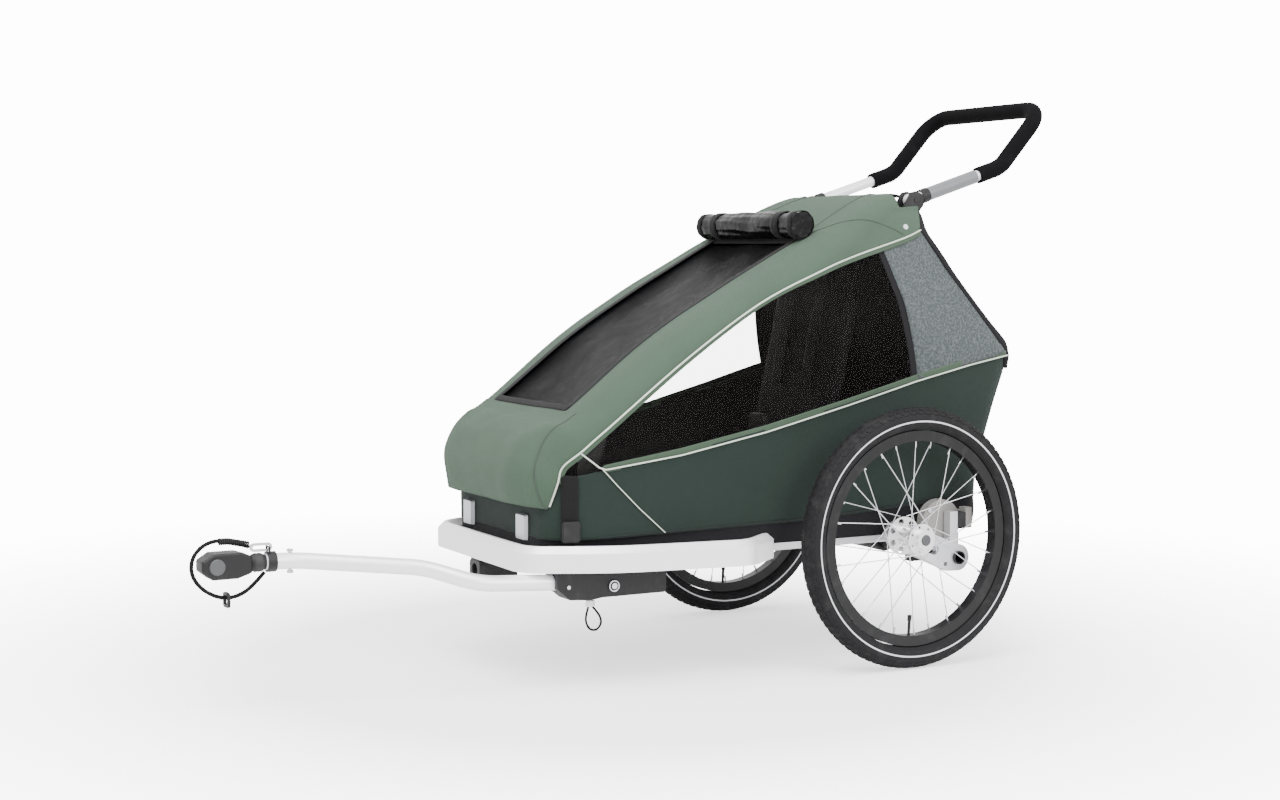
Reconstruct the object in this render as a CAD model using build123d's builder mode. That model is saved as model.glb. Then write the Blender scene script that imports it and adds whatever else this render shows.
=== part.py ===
from build123d import *
import math
import os

os.makedirs("parts", exist_ok=True)

# ---------------------------------------------------------------- driving dimensions (mm)
# Child bicycle trailer.  +X is the trailer's left, -Y is the direction of travel, +Z is up.
# Lengths along Y are counted from the wheel axle; AXLE_Y puts the box's middle at Y = 0.
AXLE_Y = 439.75
AXLE_Z = 250.0  # 20 inch wheel, 47-406 tyre: 500 mm outside
TRACK_HALF = 348.0  # wheel's middle plane

TYRE_SECTION_R = 23.5
TYRE_CARCASS = 4.5
TYRE_RING_R = AXLE_Z - TYRE_SECTION_R
RIM_INNER_R = 186.0
RIM_OUTER_R = 212.0
RIM_HALF_WIDTH = 12.0
RIM_WALL = 2.5
SPOKE_R = 1.0
SPOKES_PER_FLANGE = 14
SPOKE_LEAD = 55.0  # degrees that a spoke leans round the hub
FLANGE_IN_X = 315.0
FLANGE_OUT_X = 373.0
FLANGE_IN_R = 37.0
FLANGE_OUT_R = 30.0
FLANGE_THICK = 3.0
HUB_IN_X = 309.0
HUB_OUT_X = 388.0
HUB_BODY_R = 18.0
BEARING_R = 14.0
BEARING_WIDTH = 8.0
AXLE_R = 6.0
RUNNING_GAP = 0.04
AXLE_IN_X = 262.0
AXLE_OUT_X = 380.0
BUTTON_R = 10.0
BUTTON_STEM_R = 2.4
BUTTON_BORE_R = 2.5
BUTTON_IN_X = 384.0
BUTTON_OUT_X = 390.0

PIVOT_Y = 138.0  # suspension pivot
PIVOT_Z = 197.0
PIVOT_TUBE_R = 13.0
PIVOT_TUBE_HALF = 312.0
ARM_IN_X = 286.0
ARM_OUT_X = 306.0
PAD_Y = 113.0  # suspension housing
PAD_Z = 265.0
HOUSING_R = 45.0
HOUSING_IN_X = 265.0
HOUSING_OUT_X = 284.0
PAD_STOP = (163.0, 274.0)  # the lug that the rubber pad presses against
PAD_STOP_SIZE = (14.0, 40.0)
STOP_ROOT = (158.0, 270.0)
STOP_ROOT_SIZE = (24.0, 32.0)
PAD_CENTRE = (146.0, 271.0)
PAD_SIZE = (19.4, 30.0)

RAIL_X = 175.0
RAIL_HALF = 12.5
RAIL_BOTTOM = 219.0
RAIL_TOP = 244.0
RAIL_FRONT_Y = -719.5
RAIL_REAR_Y = 206.0
BUMPER_WIDTH = 30.0
BUMPER_BOTTOM = 219.0
BUMPER_TOP = 266.0
BUMPER_CHAMFER = 12.0
BUMPER_TIE_Y = -262.0
SOCKET_REAR_Y = -680.0  # socket for the stroller's front wheel
SOCKET_FRONT_Y = -758.0
SOCKET_Z = 198.0
SOCKET_BORE_R = 12.0
SOCKET_DEPTH = 62.0

FLOOR_Z = 244.5
SKIN = 4.0  # thickness of the fabric and film solids
TUBE_WALL = 1.6
REAR_HOOP_X = 175.0
REAR_HOOP_R = 10.0
REAR_PIVOT = (195.0, 360.0)
REAR_TOP = (75.0, 858.0)
FRONT_HOOP_X = 214.0  # clears the handle clamps when the frame folds
FRONT_TAB_X = 205.0
TAB_THICK = 6.0
FRONT_HOOP_R = 8.0
FRONT_PIVOT = (-640.0, 330.0)
FRONT_HOOP_SIDE = [(10, 826), (-250, 716), (-540, 540), (-640, 452)]
FRONT_HOOP_RADII = [400, 300, 45, 45, 300, 400]
FRONT_TAB_OUTLINE = [(-653, 330), (-627, 330), (-570, 502), (-590, 502), (-628, 462), (-640, 452)]
HINGE_BOLT_R = 4.0
PLATE_EYE_R = 13.0
PLATE = 4.0

HANDLE_X = 185.0
HANDLE_PIVOT = (105.0, 895.0)
HANDLE_R = 11.0
HANDLE_BORE_R = HANDLE_R + 0.1  # inside of everything pushed onto the handle
HANDLE_PIN_R = 5.0
COLLAR_R = 14.5
SLEEVE_R = 13.5
SLEEVE_LENGTH = 122.0
GRIP_R = 16.5

DRAWBAR_X = 200.0
DRAWBAR_R = 14.5
HITCH_X = 100.0
HITCH_Y = -1286.0
HITCH_Z = 258.0
HITCH_BORE_R = 9.0
HITCH_BORE_DEPTH = 22.0
LOCK_Y = -616.0


# ---------------------------------------------------------------- planes and helpers
def at(x, y, z):
    """A point, with Y counted from the wheel axle."""
    return Vector(x, AXLE_Y + y, z)


def side(x):
    """Upright plane seen from the left: sketch X is +Y, sketch Y is +Z."""
    return Plane(origin=(x, AXLE_Y, 0), x_dir=(0, 1, 0), z_dir=(1, 0, 0))


def deck(z):
    """Level plane: sketch X is +X, sketch Y is +Y."""
    return Plane(origin=(0, AXLE_Y, z), x_dir=(1, 0, 0), z_dir=(0, 0, 1))


def across(y):
    """Upright plane across the trailer: sketch X is +X, sketch Y is +Z, normal is -Y."""
    return Plane(origin=(0, AXLE_Y + y, 0), x_dir=(1, 0, 0), z_dir=(0, -1, 0))


def save(piece, label):
    piece.part.label = label
    export_step(piece.part, f"parts/{label}.step")


def save_pair(piece, label):
    """The left piece as it is, and its mirror image as the right piece."""
    save(piece, f"{label}_left")
    with BuildPart() as right:
        mirror(piece.part, about=Plane.YZ)
    save(right, f"{label}_right")


def bent_tube(points, radii, outer, bore=0.0):
    """Round tube along straight runs joined by tangent arcs."""
    with BuildPart() as tube:
        with BuildLine() as route:
            FilletPolyline(*points, radius=radii)
        with BuildSketch(Plane(route.line @ 0, z_dir=route.line % 0)):
            Circle(outer)
            if bore:
                Circle(bore, mode=Mode.SUBTRACT)
        sweep(path=route.line)
    return tube


def mirrored(points):
    """A half route that starts on the left, carried on over to the right."""
    return points + [(-x, y, z) for x, y, z in reversed(points)]


# ---------------------------------------------------------------- wheels
with BuildPart() as tyre:
    with BuildSketch(across(0)):
        with Locations((TRACK_HALF, AXLE_Z + TYRE_RING_R)):
            Circle(TYRE_SECTION_R)
            Circle(TYRE_SECTION_R - TYRE_CARCASS, mode=Mode.SUBTRACT)
    revolve(axis=Axis(at(0, 0, AXLE_Z), (1, 0, 0)))
save_pair(tyre, "tyre")

with BuildPart() as rim:
    with BuildSketch(across(0)):
        with Locations((TRACK_HALF, AXLE_Z + (RIM_INNER_R + RIM_OUTER_R) / 2)):
            Rectangle(2 * RIM_HALF_WIDTH, RIM_OUTER_R - RIM_INNER_R)
        with Locations((TRACK_HALF, AXLE_Z + RIM_INNER_R + 7)):
            Rectangle(2 * (RIM_HALF_WIDTH - RIM_WALL), 9, mode=Mode.SUBTRACT)
        with Locations((TRACK_HALF, AXLE_Z + TYRE_RING_R)):
            Circle(TYRE_SECTION_R + 0.2, mode=Mode.SUBTRACT)
    revolve(axis=Axis(at(0, 0, AXLE_Z), (1, 0, 0)))
save_pair(rim, "rim")


def spoke_ends(number, flange_x, flange_r, rim_x):
    """Both ends of one spoke; every second one leans the other way and leaves the other flange face."""
    turn = 1 if number % 2 else -1
    step = 360.0 / SPOKES_PER_FLANGE
    half_step = step / 2 if flange_x > TRACK_HALF else 0.0
    rim_angle = math.radians(number * step + half_step)
    hub_angle = rim_angle + math.radians(turn * SPOKE_LEAD)
    hub_r = flange_r + SPOKE_R + 0.4
    hub_x = flange_x + turn * 1.8
    rim_r = RIM_INNER_R - 0.6
    start = at(hub_x, hub_r * math.cos(hub_angle), AXLE_Z + hub_r * math.sin(hub_angle))
    end = at(rim_x, rim_r * math.cos(rim_angle), AXLE_Z + rim_r * math.sin(rim_angle))
    return start, end


with BuildPart() as spokes:
    for flange_x, flange_r, rim_x in (
        (FLANGE_IN_X, FLANGE_IN_R, TRACK_HALF - 4),
        (FLANGE_OUT_X, FLANGE_OUT_R, TRACK_HALF + 4),
    ):
        for number in range(SPOKES_PER_FLANGE):
            start, end = spoke_ends(number, flange_x, flange_r, rim_x)
            with BuildSketch(Plane(origin=start, z_dir=end - start)):
                Circle(SPOKE_R)
            extrude(amount=(end - start).length)
save_pair(spokes, "spokes")

with BuildPart() as hub_shell:
    with BuildSketch(side(HUB_IN_X)):
        with Locations((0, AXLE_Z)):
            Circle(HUB_BODY_R)
    extrude(amount=HUB_OUT_X - HUB_IN_X)
    for flange_x, flange_r in ((FLANGE_IN_X, FLANGE_IN_R), (FLANGE_OUT_X, FLANGE_OUT_R)):
        with BuildSketch(side(flange_x - FLANGE_THICK / 2)):
            with Locations((0, AXLE_Z)):
                Circle(flange_r)
                with PolarLocations((HUB_BODY_R + flange_r) / 2, 7):
                    Circle((flange_r - HUB_BODY_R) / 2 - 3.2, mode=Mode.SUBTRACT)
        extrude(amount=FLANGE_THICK)
    with BuildSketch(side(HUB_IN_X)):
        with Locations((0, AXLE_Z)):
            Circle(AXLE_R + 3)
    extrude(amount=HUB_OUT_X - HUB_IN_X, mode=Mode.SUBTRACT)
    for bearing_x in (HUB_IN_X + 2, AXLE_OUT_X - 2 - BEARING_WIDTH):
        with BuildSketch(side(bearing_x)):
            with Locations((0, AXLE_Z)):
                Circle(BEARING_R)
        extrude(amount=BEARING_WIDTH, mode=Mode.SUBTRACT)
    with BuildSketch(side(AXLE_OUT_X - 2)):
        with Locations((0, AXLE_Z)):
            Circle(BUTTON_R + 0.8)
    extrude(amount=HUB_OUT_X - AXLE_OUT_X + 2, mode=Mode.SUBTRACT)
save_pair(hub_shell, "hub_shell")

with BuildPart() as hub_bearings:
    for bearing_x in (HUB_IN_X + 2, AXLE_OUT_X - 2 - BEARING_WIDTH):
        with BuildSketch(side(bearing_x)):
            with Locations((0, AXLE_Z)):
                Circle(BEARING_R)
                Circle(AXLE_R + RUNNING_GAP, mode=Mode.SUBTRACT)
        extrude(amount=BEARING_WIDTH)
save_pair(hub_bearings, "hub_bearings")

# ---------------------------------------------------------------- suspension
with BuildPart() as axle:
    with BuildSketch(side(AXLE_IN_X)):
        with Locations((0, AXLE_Z)):
            Circle(AXLE_R)
    extrude(amount=AXLE_OUT_X - AXLE_IN_X)
    with BuildSketch(side(AXLE_IN_X)):
        with Locations((0, AXLE_Z)):
            RegularPolygon(11, 6)
    extrude(amount=8)
    with BuildSketch(side(AXLE_OUT_X - 24)):
        with Locations((0, AXLE_Z)):
            Circle(BUTTON_BORE_R)
    extrude(amount=24, mode=Mode.SUBTRACT)
save_pair(axle, "axle")

with BuildPart() as hub_button:
    with BuildSketch(side(BUTTON_IN_X)):
        with Locations((0, AXLE_Z)):
            Circle(BUTTON_R)
    extrude(amount=BUTTON_OUT_X - BUTTON_IN_X)
    chamfer(hub_button.faces().sort_by(Axis.X)[-1].edges(), 1.2)
    with BuildSketch(side(BUTTON_IN_X - 16)):
        with Locations((0, AXLE_Z)):
            Circle(BUTTON_STEM_R)
    extrude(amount=16)
save_pair(hub_button, "hub_button")

with BuildPart() as swing_arm:
    with BuildSketch(side(ARM_IN_X)):
        with BuildLine():
            Polyline((6, AXLE_Z + 24), (PIVOT_Y + 4, PIVOT_Z + 25), (PIVOT_Y - 2, PIVOT_Z - 26),
                     (112, 172), (-6, AXLE_Z - 24), close=True)
        make_face()
        with Locations((0, AXLE_Z)):
            Circle(25)
        with Locations((PIVOT_Y, PIVOT_Z)):
            Circle(26)
        with Locations((127, 250)):
            Rectangle(18, 76)
        with Locations((PIVOT_Y, PIVOT_Z)):
            Circle(PIVOT_TUBE_R + RUNNING_GAP, mode=Mode.SUBTRACT)
        with Locations((0, AXLE_Z)):
            Circle(AXLE_R, mode=Mode.SUBTRACT)
        with Locations(Location((72, 219), -21)):
            SlotOverall(40, 19, mode=Mode.SUBTRACT)
        with Locations((108, 186)):
            Circle(4.5, mode=Mode.SUBTRACT)
    extrude(amount=ARM_OUT_X - ARM_IN_X)
save_pair(swing_arm, "swing_arm")

with BuildPart() as pivot_tube:
    with BuildSketch(side(-PIVOT_TUBE_HALF)):
        with Locations((PIVOT_Y, PIVOT_Z)):
            Circle(PIVOT_TUBE_R)
            Circle(PIVOT_TUBE_R - 2.5, mode=Mode.SUBTRACT)
    extrude(amount=2 * PIVOT_TUBE_HALF)
save(pivot_tube, "pivot_tube")

with BuildPart() as axle_clamps:
    with BuildSketch(side(RAIL_X - 10)):
        with Locations((PIVOT_Y, (PIVOT_Z + RAIL_BOTTOM) / 2 - 6)):
            Rectangle(50, RAIL_BOTTOM - PIVOT_Z + 34)
        with Locations((PIVOT_Y, RAIL_BOTTOM + 20)):
            Rectangle(60, 40, mode=Mode.SUBTRACT)
        with Locations((PIVOT_Y, PIVOT_Z)):
            Circle(PIVOT_TUBE_R, mode=Mode.SUBTRACT)
    extrude(amount=20)
    mirror(about=Plane.YZ)
save(axle_clamps, "axle_clamps")

with BuildPart() as pad_housings:
    with BuildSketch(side(HOUSING_IN_X)):
        with Locations((PAD_Y, PAD_Z)):
            Circle(HOUSING_R)
        with Locations((PIVOT_Y, PIVOT_Z + 20)):
            Rectangle(34, 50)
        with Locations((PIVOT_Y, PIVOT_Z)):
            Circle(PIVOT_TUBE_R, mode=Mode.SUBTRACT)
    extrude(amount=HOUSING_OUT_X - HOUSING_IN_X)
    with BuildSketch(side(HOUSING_OUT_X)):
        with Locations(PAD_STOP):
            Rectangle(*PAD_STOP_SIZE)
    extrude(amount=ARM_OUT_X - HOUSING_OUT_X)
    with BuildSketch(side(HOUSING_IN_X)):
        with Locations(STOP_ROOT):
            Rectangle(*STOP_ROOT_SIZE)
    extrude(amount=HOUSING_OUT_X - HOUSING_IN_X)
    mirror(about=Plane.YZ)
save(pad_housings, "pad_housings")

with BuildPart() as suspension_pad:
    with BuildSketch(side(ARM_IN_X)):
        with Locations(PAD_CENTRE):
            RectangleRounded(*PAD_SIZE, 4)
    extrude(amount=ARM_OUT_X - ARM_IN_X)
save_pair(suspension_pad, "suspension_pad")

with BuildPart() as brake_pedal:
    with BuildSketch(side(-60)):
        with BuildLine():
            Polyline((PIVOT_Y, PIVOT_Z + 20), (PIVOT_Y + 90, PIVOT_Z + 20), (PIVOT_Y + 100, PIVOT_Z + 10),
                     (PIVOT_Y + 30, PIVOT_Z - 2), (PIVOT_Y, PIVOT_Z - 20), close=True)
        make_face()
        with Locations((PIVOT_Y, PIVOT_Z)):
            Circle(20)
            Circle(PIVOT_TUBE_R + RUNNING_GAP, mode=Mode.SUBTRACT)
    extrude(amount=120)
save(brake_pedal, "brake_pedal")

# ---------------------------------------------------------------- chassis
BUMPER_HALF_ROUTE = [
    (RAIL_X + RAIL_HALF + 0.3, BUMPER_TIE_Y),
    (245.0, BUMPER_TIE_Y),
    (309.0, -345.0),
    (271.0, -597.0),
    (198.0, -743.0),
]
BUMPER_RADII = [36.0, 60.0, 385.0, 55.0]

with BuildLine() as bumper_route:
    FilletPolyline(
        *[at(x, y, BUMPER_BOTTOM) for x, y in BUMPER_HALF_ROUTE],
        *[at(-x, y, BUMPER_BOTTOM) for x, y in reversed(BUMPER_HALF_ROUTE)],
        radius=BUMPER_RADII + BUMPER_RADII[::-1],
    )


def bumper_form(growth, hollow):
    """The bumper's bar, grown by a gap when it is the space that other pieces leave for it."""
    half = BUMPER_WIDTH / 2
    height = BUMPER_TOP - BUMPER_BOTTOM
    shoulder = height - BUMPER_CHAMFER
    with BuildPart() as bar:
        with BuildSketch(Plane(bumper_route.line @ 0, x_dir=(0, 0, 1), z_dir=bumper_route.line % 0)):
            with BuildLine():
                Polyline((0, -half), (shoulder, -half), (height, -half + BUMPER_CHAMFER),
                         (height, half - BUMPER_CHAMFER), (shoulder, half), (0, half), close=True)
            make_face()
            if hollow:
                offset(amount=-2.5, mode=Mode.SUBTRACT)
            if growth:
                offset(amount=growth, kind=Kind.INTERSECTION, mode=Mode.REPLACE)
        sweep(path=bumper_route.line)
    return bar


bumper_tube = bumper_form(growth=0, hollow=True)
save(bumper_tube, "bumper_tube")

with BuildPart() as chassis_frame:
    with BuildSketch(across(RAIL_REAR_Y)):
        with Locations((RAIL_X, (RAIL_BOTTOM + RAIL_TOP) / 2)):
            RectangleRounded(2 * RAIL_HALF, RAIL_TOP - RAIL_BOTTOM, 4)
            RectangleRounded(2 * RAIL_HALF - 4, RAIL_TOP - RAIL_BOTTOM - 4, 2, mode=Mode.SUBTRACT)
    extrude(amount=RAIL_REAR_Y - RAIL_FRONT_Y)
    mirror(about=Plane.YZ)
    with BuildSketch(side(-RAIL_X + RAIL_HALF + 0.2)):
        with Locations((BUMPER_TIE_Y, (RAIL_BOTTOM + RAIL_TOP) / 2)):
            RectangleRounded(28, RAIL_TOP - RAIL_BOTTOM - 1, 4)
            RectangleRounded(24, RAIL_TOP - RAIL_BOTTOM - 5, 2, mode=Mode.SUBTRACT)
    extrude(amount=2 * (RAIL_X - RAIL_HALF - 0.2))
save(chassis_frame, "chassis_frame")

with BuildPart() as hinge_brackets:
    for pivot, bolt_in, bolt_out in (
        (REAR_PIVOT, RAIL_X - 12, RAIL_X + 28),
        (FRONT_PIVOT, RAIL_X + 6, FRONT_TAB_X + 7),
    ):
        with BuildSketch(side(RAIL_X + RAIL_HALF)):
            with Locations((pivot[0], (RAIL_BOTTOM + pivot[1]) / 2)):
                Rectangle(26, pivot[1] - RAIL_BOTTOM)
            with Locations(pivot):
                Circle(PLATE_EYE_R)
        extrude(amount=PLATE)
        with BuildSketch(side(bolt_in)):
            with Locations(pivot):
                Circle(HINGE_BOLT_R)
        extrude(amount=bolt_out - bolt_in)
    mirror(about=Plane.YZ)
save(hinge_brackets, "hinge_brackets")

with BuildPart() as front_socket:
    with BuildSketch(across(SOCKET_REAR_Y)):
        with Locations((0, SOCKET_Z)):
            RectangleRounded(46, 36, 8)
    extrude(amount=SOCKET_REAR_Y - SOCKET_FRONT_Y)
    with BuildSketch(across(SOCKET_FRONT_Y)):
        with Locations((0, SOCKET_Z)):
            Circle(SOCKET_BORE_R)
    extrude(amount=-SOCKET_DEPTH, mode=Mode.SUBTRACT)
    with BuildSketch(across(-727)):
        with Locations((0, 217.2)):
            Rectangle(40, 3.2)
    extrude(amount=30)
save(front_socket, "front_socket")

# ---------------------------------------------------------------- folding hoops
with BuildPart() as rear_hoop:
    hoop_route = [
        (REAR_HOOP_X, *REAR_PIVOT),
        (REAR_HOOP_X, *REAR_TOP),
    ]
    with BuildLine() as rear_route:
        FilletPolyline(*[at(*point) for point in mirrored(hoop_route)], radius=48)
    with BuildSketch(Plane(rear_route.line @ 0, z_dir=rear_route.line % 0)):
        Circle(REAR_HOOP_R)
        Circle(REAR_HOOP_R - TUBE_WALL, mode=Mode.SUBTRACT)
    sweep(path=rear_route.line)
    for hand in (-1, 1):
        with BuildSketch(side(hand * REAR_HOOP_X - REAR_HOOP_R)):
            with Locations(REAR_PIVOT):
                Circle(REAR_HOOP_R + 2)
        extrude(amount=2 * REAR_HOOP_R)
    with BuildSketch(side(0)):
        with Locations(REAR_PIVOT):
            Circle(HINGE_BOLT_R + RUNNING_GAP)
    extrude(amount=REAR_HOOP_X + 2 * REAR_HOOP_R, both=True, mode=Mode.SUBTRACT)
save(rear_hoop, "rear_hoop")

with BuildPart() as front_hoop:
    front_half = [(FRONT_HOOP_X, y, z) for y, z in FRONT_HOOP_SIDE]
    with BuildLine() as front_route:
        FilletPolyline(*[at(*point) for point in mirrored(front_half)], radius=FRONT_HOOP_RADII)
    with BuildSketch(Plane(front_route.line @ 0, z_dir=front_route.line % 0)):
        Circle(FRONT_HOOP_R)
        Circle(FRONT_HOOP_R - TUBE_WALL, mode=Mode.SUBTRACT)
    sweep(path=front_route.line)
    for hand in (-1, 1):
        with BuildSketch(side(hand * FRONT_TAB_X - TAB_THICK / 2)):
            with BuildLine():
                Polyline(*FRONT_TAB_OUTLINE, close=True)
            make_face()
            with Locations(FRONT_PIVOT):
                Circle(PLATE_EYE_R)
                Circle(HINGE_BOLT_R + RUNNING_GAP, mode=Mode.SUBTRACT)
        extrude(amount=TAB_THICK)
save(front_hoop, "front_hoop")

CLAMP_HALF = 17.5
CHEEK_THICK = 5.5
CHEEK_OUTLINE = [(56, 846), (90, 846), (123, 886), (123, 905), (105, 913), (92, 910)]
CLAMP_BODY_OUTLINE = [(56, 846), (88, 846), (96, 862), (84, 874), (64, 868)]

with BuildPart() as handle_clamps:
    for cheek_x in (HANDLE_X - CLAMP_HALF, HANDLE_X + CLAMP_HALF - CHEEK_THICK):
        with BuildSketch(side(cheek_x)):
            with BuildLine():
                Polyline(*CHEEK_OUTLINE, close=True)
            make_face()
        extrude(amount=CHEEK_THICK)
    with BuildSketch(side(HANDLE_X - CLAMP_HALF)):
        with BuildLine():
            Polyline(*CLAMP_BODY_OUTLINE, close=True)
        make_face()
    extrude(amount=2 * CLAMP_HALF)
    with BuildSketch(side(HANDLE_X - 19)):
        with Locations(HANDLE_PIVOT):
            Circle(HANDLE_PIN_R)
    extrude(amount=38)
    mirror(about=Plane.YZ)
    add(rear_hoop.part, mode=Mode.SUBTRACT)
    with BuildLine() as core_route:
        FilletPolyline(*[at(*point) for point in mirrored(hoop_route)], radius=48)
    with BuildSketch(Plane(core_route.line @ 0, z_dir=core_route.line % 0)):
        Circle(REAR_HOOP_R)
    sweep(path=core_route.line, mode=Mode.SUBTRACT)
save(handle_clamps, "handle_clamps")

# ---------------------------------------------------------------- push handle
HANDLE_HALF = [
    (HANDLE_X, *HANDLE_PIVOT),
    (HANDLE_X, 325.0, 965.0),
    (HANDLE_X, 433.0, 1086.0),
]
GRIP_HALF = [(HANDLE_X, 268.0, HANDLE_PIVOT[1] + 163.0 * 70.0 / 220.0), *HANDLE_HALF[1:]]
HANDLE_RADII = [60.0, 52.0, 52.0, 60.0]

handle_tube = bent_tube([at(*point) for point in mirrored(HANDLE_HALF)], HANDLE_RADII, HANDLE_R, HANDLE_R - 2)
with BuildPart() as handle_bar:
    add(handle_tube.part)
    for hand in (-1, 1):
        with BuildSketch(side(hand * HANDLE_X - 10)):
            with Locations(HANDLE_PIVOT):
                Circle(13)
        extrude(amount=20)
    with BuildSketch(side(0)):
        with Locations(HANDLE_PIVOT):
            Circle(HANDLE_PIN_R + RUNNING_GAP)
    extrude(amount=HANDLE_X + 20, both=True, mode=Mode.SUBTRACT)
save(handle_bar, "handle_bar")

foam_grip = bent_tube([at(*point) for point in mirrored(GRIP_HALF)], HANDLE_RADII, GRIP_R, HANDLE_BORE_R)
save(foam_grip, "foam_grip")

with BuildPart() as handle_collars:
    arm_dir = at(*HANDLE_HALF[1]) - at(*HANDLE_HALF[0])
    for hand in (-1, 1):
        with BuildSketch(Plane(origin=at(hand * HANDLE_X, 127.0, 902.0), z_dir=arm_dir)):
            Circle(COLLAR_R)
            Circle(HANDLE_BORE_R, mode=Mode.SUBTRACT)
        extrude(amount=16)
save(handle_collars, "handle_collars")

with BuildPart() as handle_sleeve:
    with BuildSketch(Plane(origin=at(HANDLE_X, 144.0, 907.4), z_dir=arm_dir)):
        Circle(SLEEVE_R)
        Circle(HANDLE_BORE_R, mode=Mode.SUBTRACT)
    extrude(amount=SLEEVE_LENGTH)
save(handle_sleeve, "handle_sleeve")

# ---------------------------------------------------------------- cabin
SIDE_FLOOR = [(-706, FLOOR_Z), (218, FLOOR_Z), (232, 258), (224, 330), (227, 400), (242, 500)]
SIDE_BACK = [(288, 600), (222, 705), (212, 722), (122, 832), (124, 904)]
SIDE_ROOF = [(52, 908), (-100, 840), (-190, 796), (-340, 714), (-490, 623), (-644, 503)]
SIDE_HOOD = [(-692, 484), (-738, 450), (-760, 402), (-754, 344), (-712, 340)]
PLAN_HALF = [(262, -300), (284, 0), (288, 150), (288, 300), (270, 330), (0, 330)]
PLAN_FRONT = [(0, -775), (105, -768), (165, -740), (214, -690), (242, -620), (252, -500)]
PLAN_FRONT_LOW = [(0, -775), (165, -775), (200, -700), (219, -640), (246, -500)]
SECTION_HALF = [
    (0, 200), (262, 200), (262, 340), (289, 598), (244, 800), (226, 850), (208, 885), (176, 907), (120, 914), (0, 916)
]
HEM = [
    (-790, 345), (-741, 343), (-650, 435), (-540, 525), (-454, 590), (-368, 654), (-280, 703), (-183, 746),
    (-83, 782), (20, 811), (90, 834), (200, 850)
]
BELT = [(-790, 362), (-604, 400), (-454, 424), (-279, 459), (-100, 504), (52, 545), (180, 574), (330, 607)]
SKIRT = [(-800, 272), (-200, 284), (300, 312)]
PILLAR = [(63, 500), (61, 541), (34, 700), (-2, 808), (-6, 880)]
CABIN_REACH = 320.0


def cabin_form(inset, plan_front):
    """The cabin's outer form, or the same form drawn in by the skin's thickness."""
    with BuildPart() as form:
        with BuildSketch(side(0)):
            with BuildLine():
                Polyline(*SIDE_FLOOR, *SIDE_BACK, *SIDE_ROOF, *SIDE_HOOD, close=True)
            make_face()
            if inset:
                offset(amount=-inset, kind=Kind.INTERSECTION, mode=Mode.REPLACE)
        extrude(amount=CABIN_REACH, both=True)
        with BuildSketch(deck(0)):
            with BuildLine():
                Polyline(*plan_front, *PLAN_HALF, close=True)
            make_face()
            mirror(about=Plane.YZ)
            if inset:
                offset(amount=-inset, kind=Kind.INTERSECTION, mode=Mode.REPLACE)
        extrude(amount=1000, mode=Mode.INTERSECT)
        with BuildSketch(across(400)):
            with BuildLine():
                Polyline(*SECTION_HALF, close=True)
            make_face()
            mirror(about=Plane.YZ)
            if inset:
                offset(amount=-inset, kind=Kind.INTERSECTION, mode=Mode.REPLACE)
        extrude(amount=1300, mode=Mode.INTERSECT)
    return form.part


CABIN_OUTER = cabin_form(0, PLAN_FRONT)
CABIN_INNER = cabin_form(SKIN, PLAN_FRONT)
TRAY_OUTER = cabin_form(0, PLAN_FRONT_LOW)
TRAY_INNER = cabin_form(SKIN, PLAN_FRONT_LOW)


def zone(outline, from_x, to_x):
    """Everything inside a side-view outline, between two X planes."""
    with BuildPart() as block:
        with BuildSketch(side(from_x)):
            with BuildLine():
                Polyline(*outline, close=True)
            make_face()
        extrude(amount=to_x - from_x)
    return block.part


ABOVE_HEM = zone(HEM + [(400, 850), (400, 1000), (-900, 1000), (-900, 345)], -CABIN_REACH, CABIN_REACH)
ABOVE_BELT = zone(BELT + [(400, 607), (400, 1000), (-900, 1000), (-900, 362)], -CABIN_REACH, CABIN_REACH)
ABOVE_SKIRT = zone(SKIRT + [(400, 312), (400, 1000), (-900, 1000), (-900, 272)], -CABIN_REACH, CABIN_REACH)
HOOD_FRONT = zone([(-900, 300), (-709, 300), (-709, 480), (-900, 480)], -CABIN_REACH, CABIN_REACH)
MESH_OUTLINE = [(-644, 470), (-190, 740), (-190, 860), (-644, 560)]
MESH_HALF = 160.0
HANDLE_SLOT = [(40, 800), (150, 800), (150, 930), (80, 930)]
HANDLE_SLOT_HALF = 22.0
BEHIND_CANOPY = [(97, 500), (400, 500), (400, 882), (109, 882), (97, 850)]
REAR_OUTLINE = [(97.3, 500), (400, 500), (400, 881), (109, 881), (97.3, 850)]
REAR_HALF = 214.7


def handle_slot(hand):
    """The opening that one handle clamp comes out through."""
    middle = hand * HANDLE_X
    return zone(HANDLE_SLOT, middle - HANDLE_SLOT_HALF, middle + HANDLE_SLOT_HALF)


with BuildPart() as canopy:
    add(CABIN_OUTER)
    add(CABIN_INNER, mode=Mode.SUBTRACT)
    add(ABOVE_HEM, mode=Mode.INTERSECT)
    add(zone(MESH_OUTLINE, -MESH_HALF, MESH_HALF), mode=Mode.SUBTRACT)
    for hand in (-1, 1):
        add(handle_slot(hand), mode=Mode.SUBTRACT)
    add(zone(BEHIND_CANOPY, -CABIN_REACH, CABIN_REACH), mode=Mode.SUBTRACT)
save(canopy, "canopy")

with BuildPart() as front_mesh:
    add(CABIN_OUTER)
    add(CABIN_INNER, mode=Mode.SUBTRACT)
    add(zone(MESH_OUTLINE, 0.3 - MESH_HALF, MESH_HALF - 0.3), mode=Mode.INTERSECT)
save(front_mesh, "front_mesh")

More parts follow.
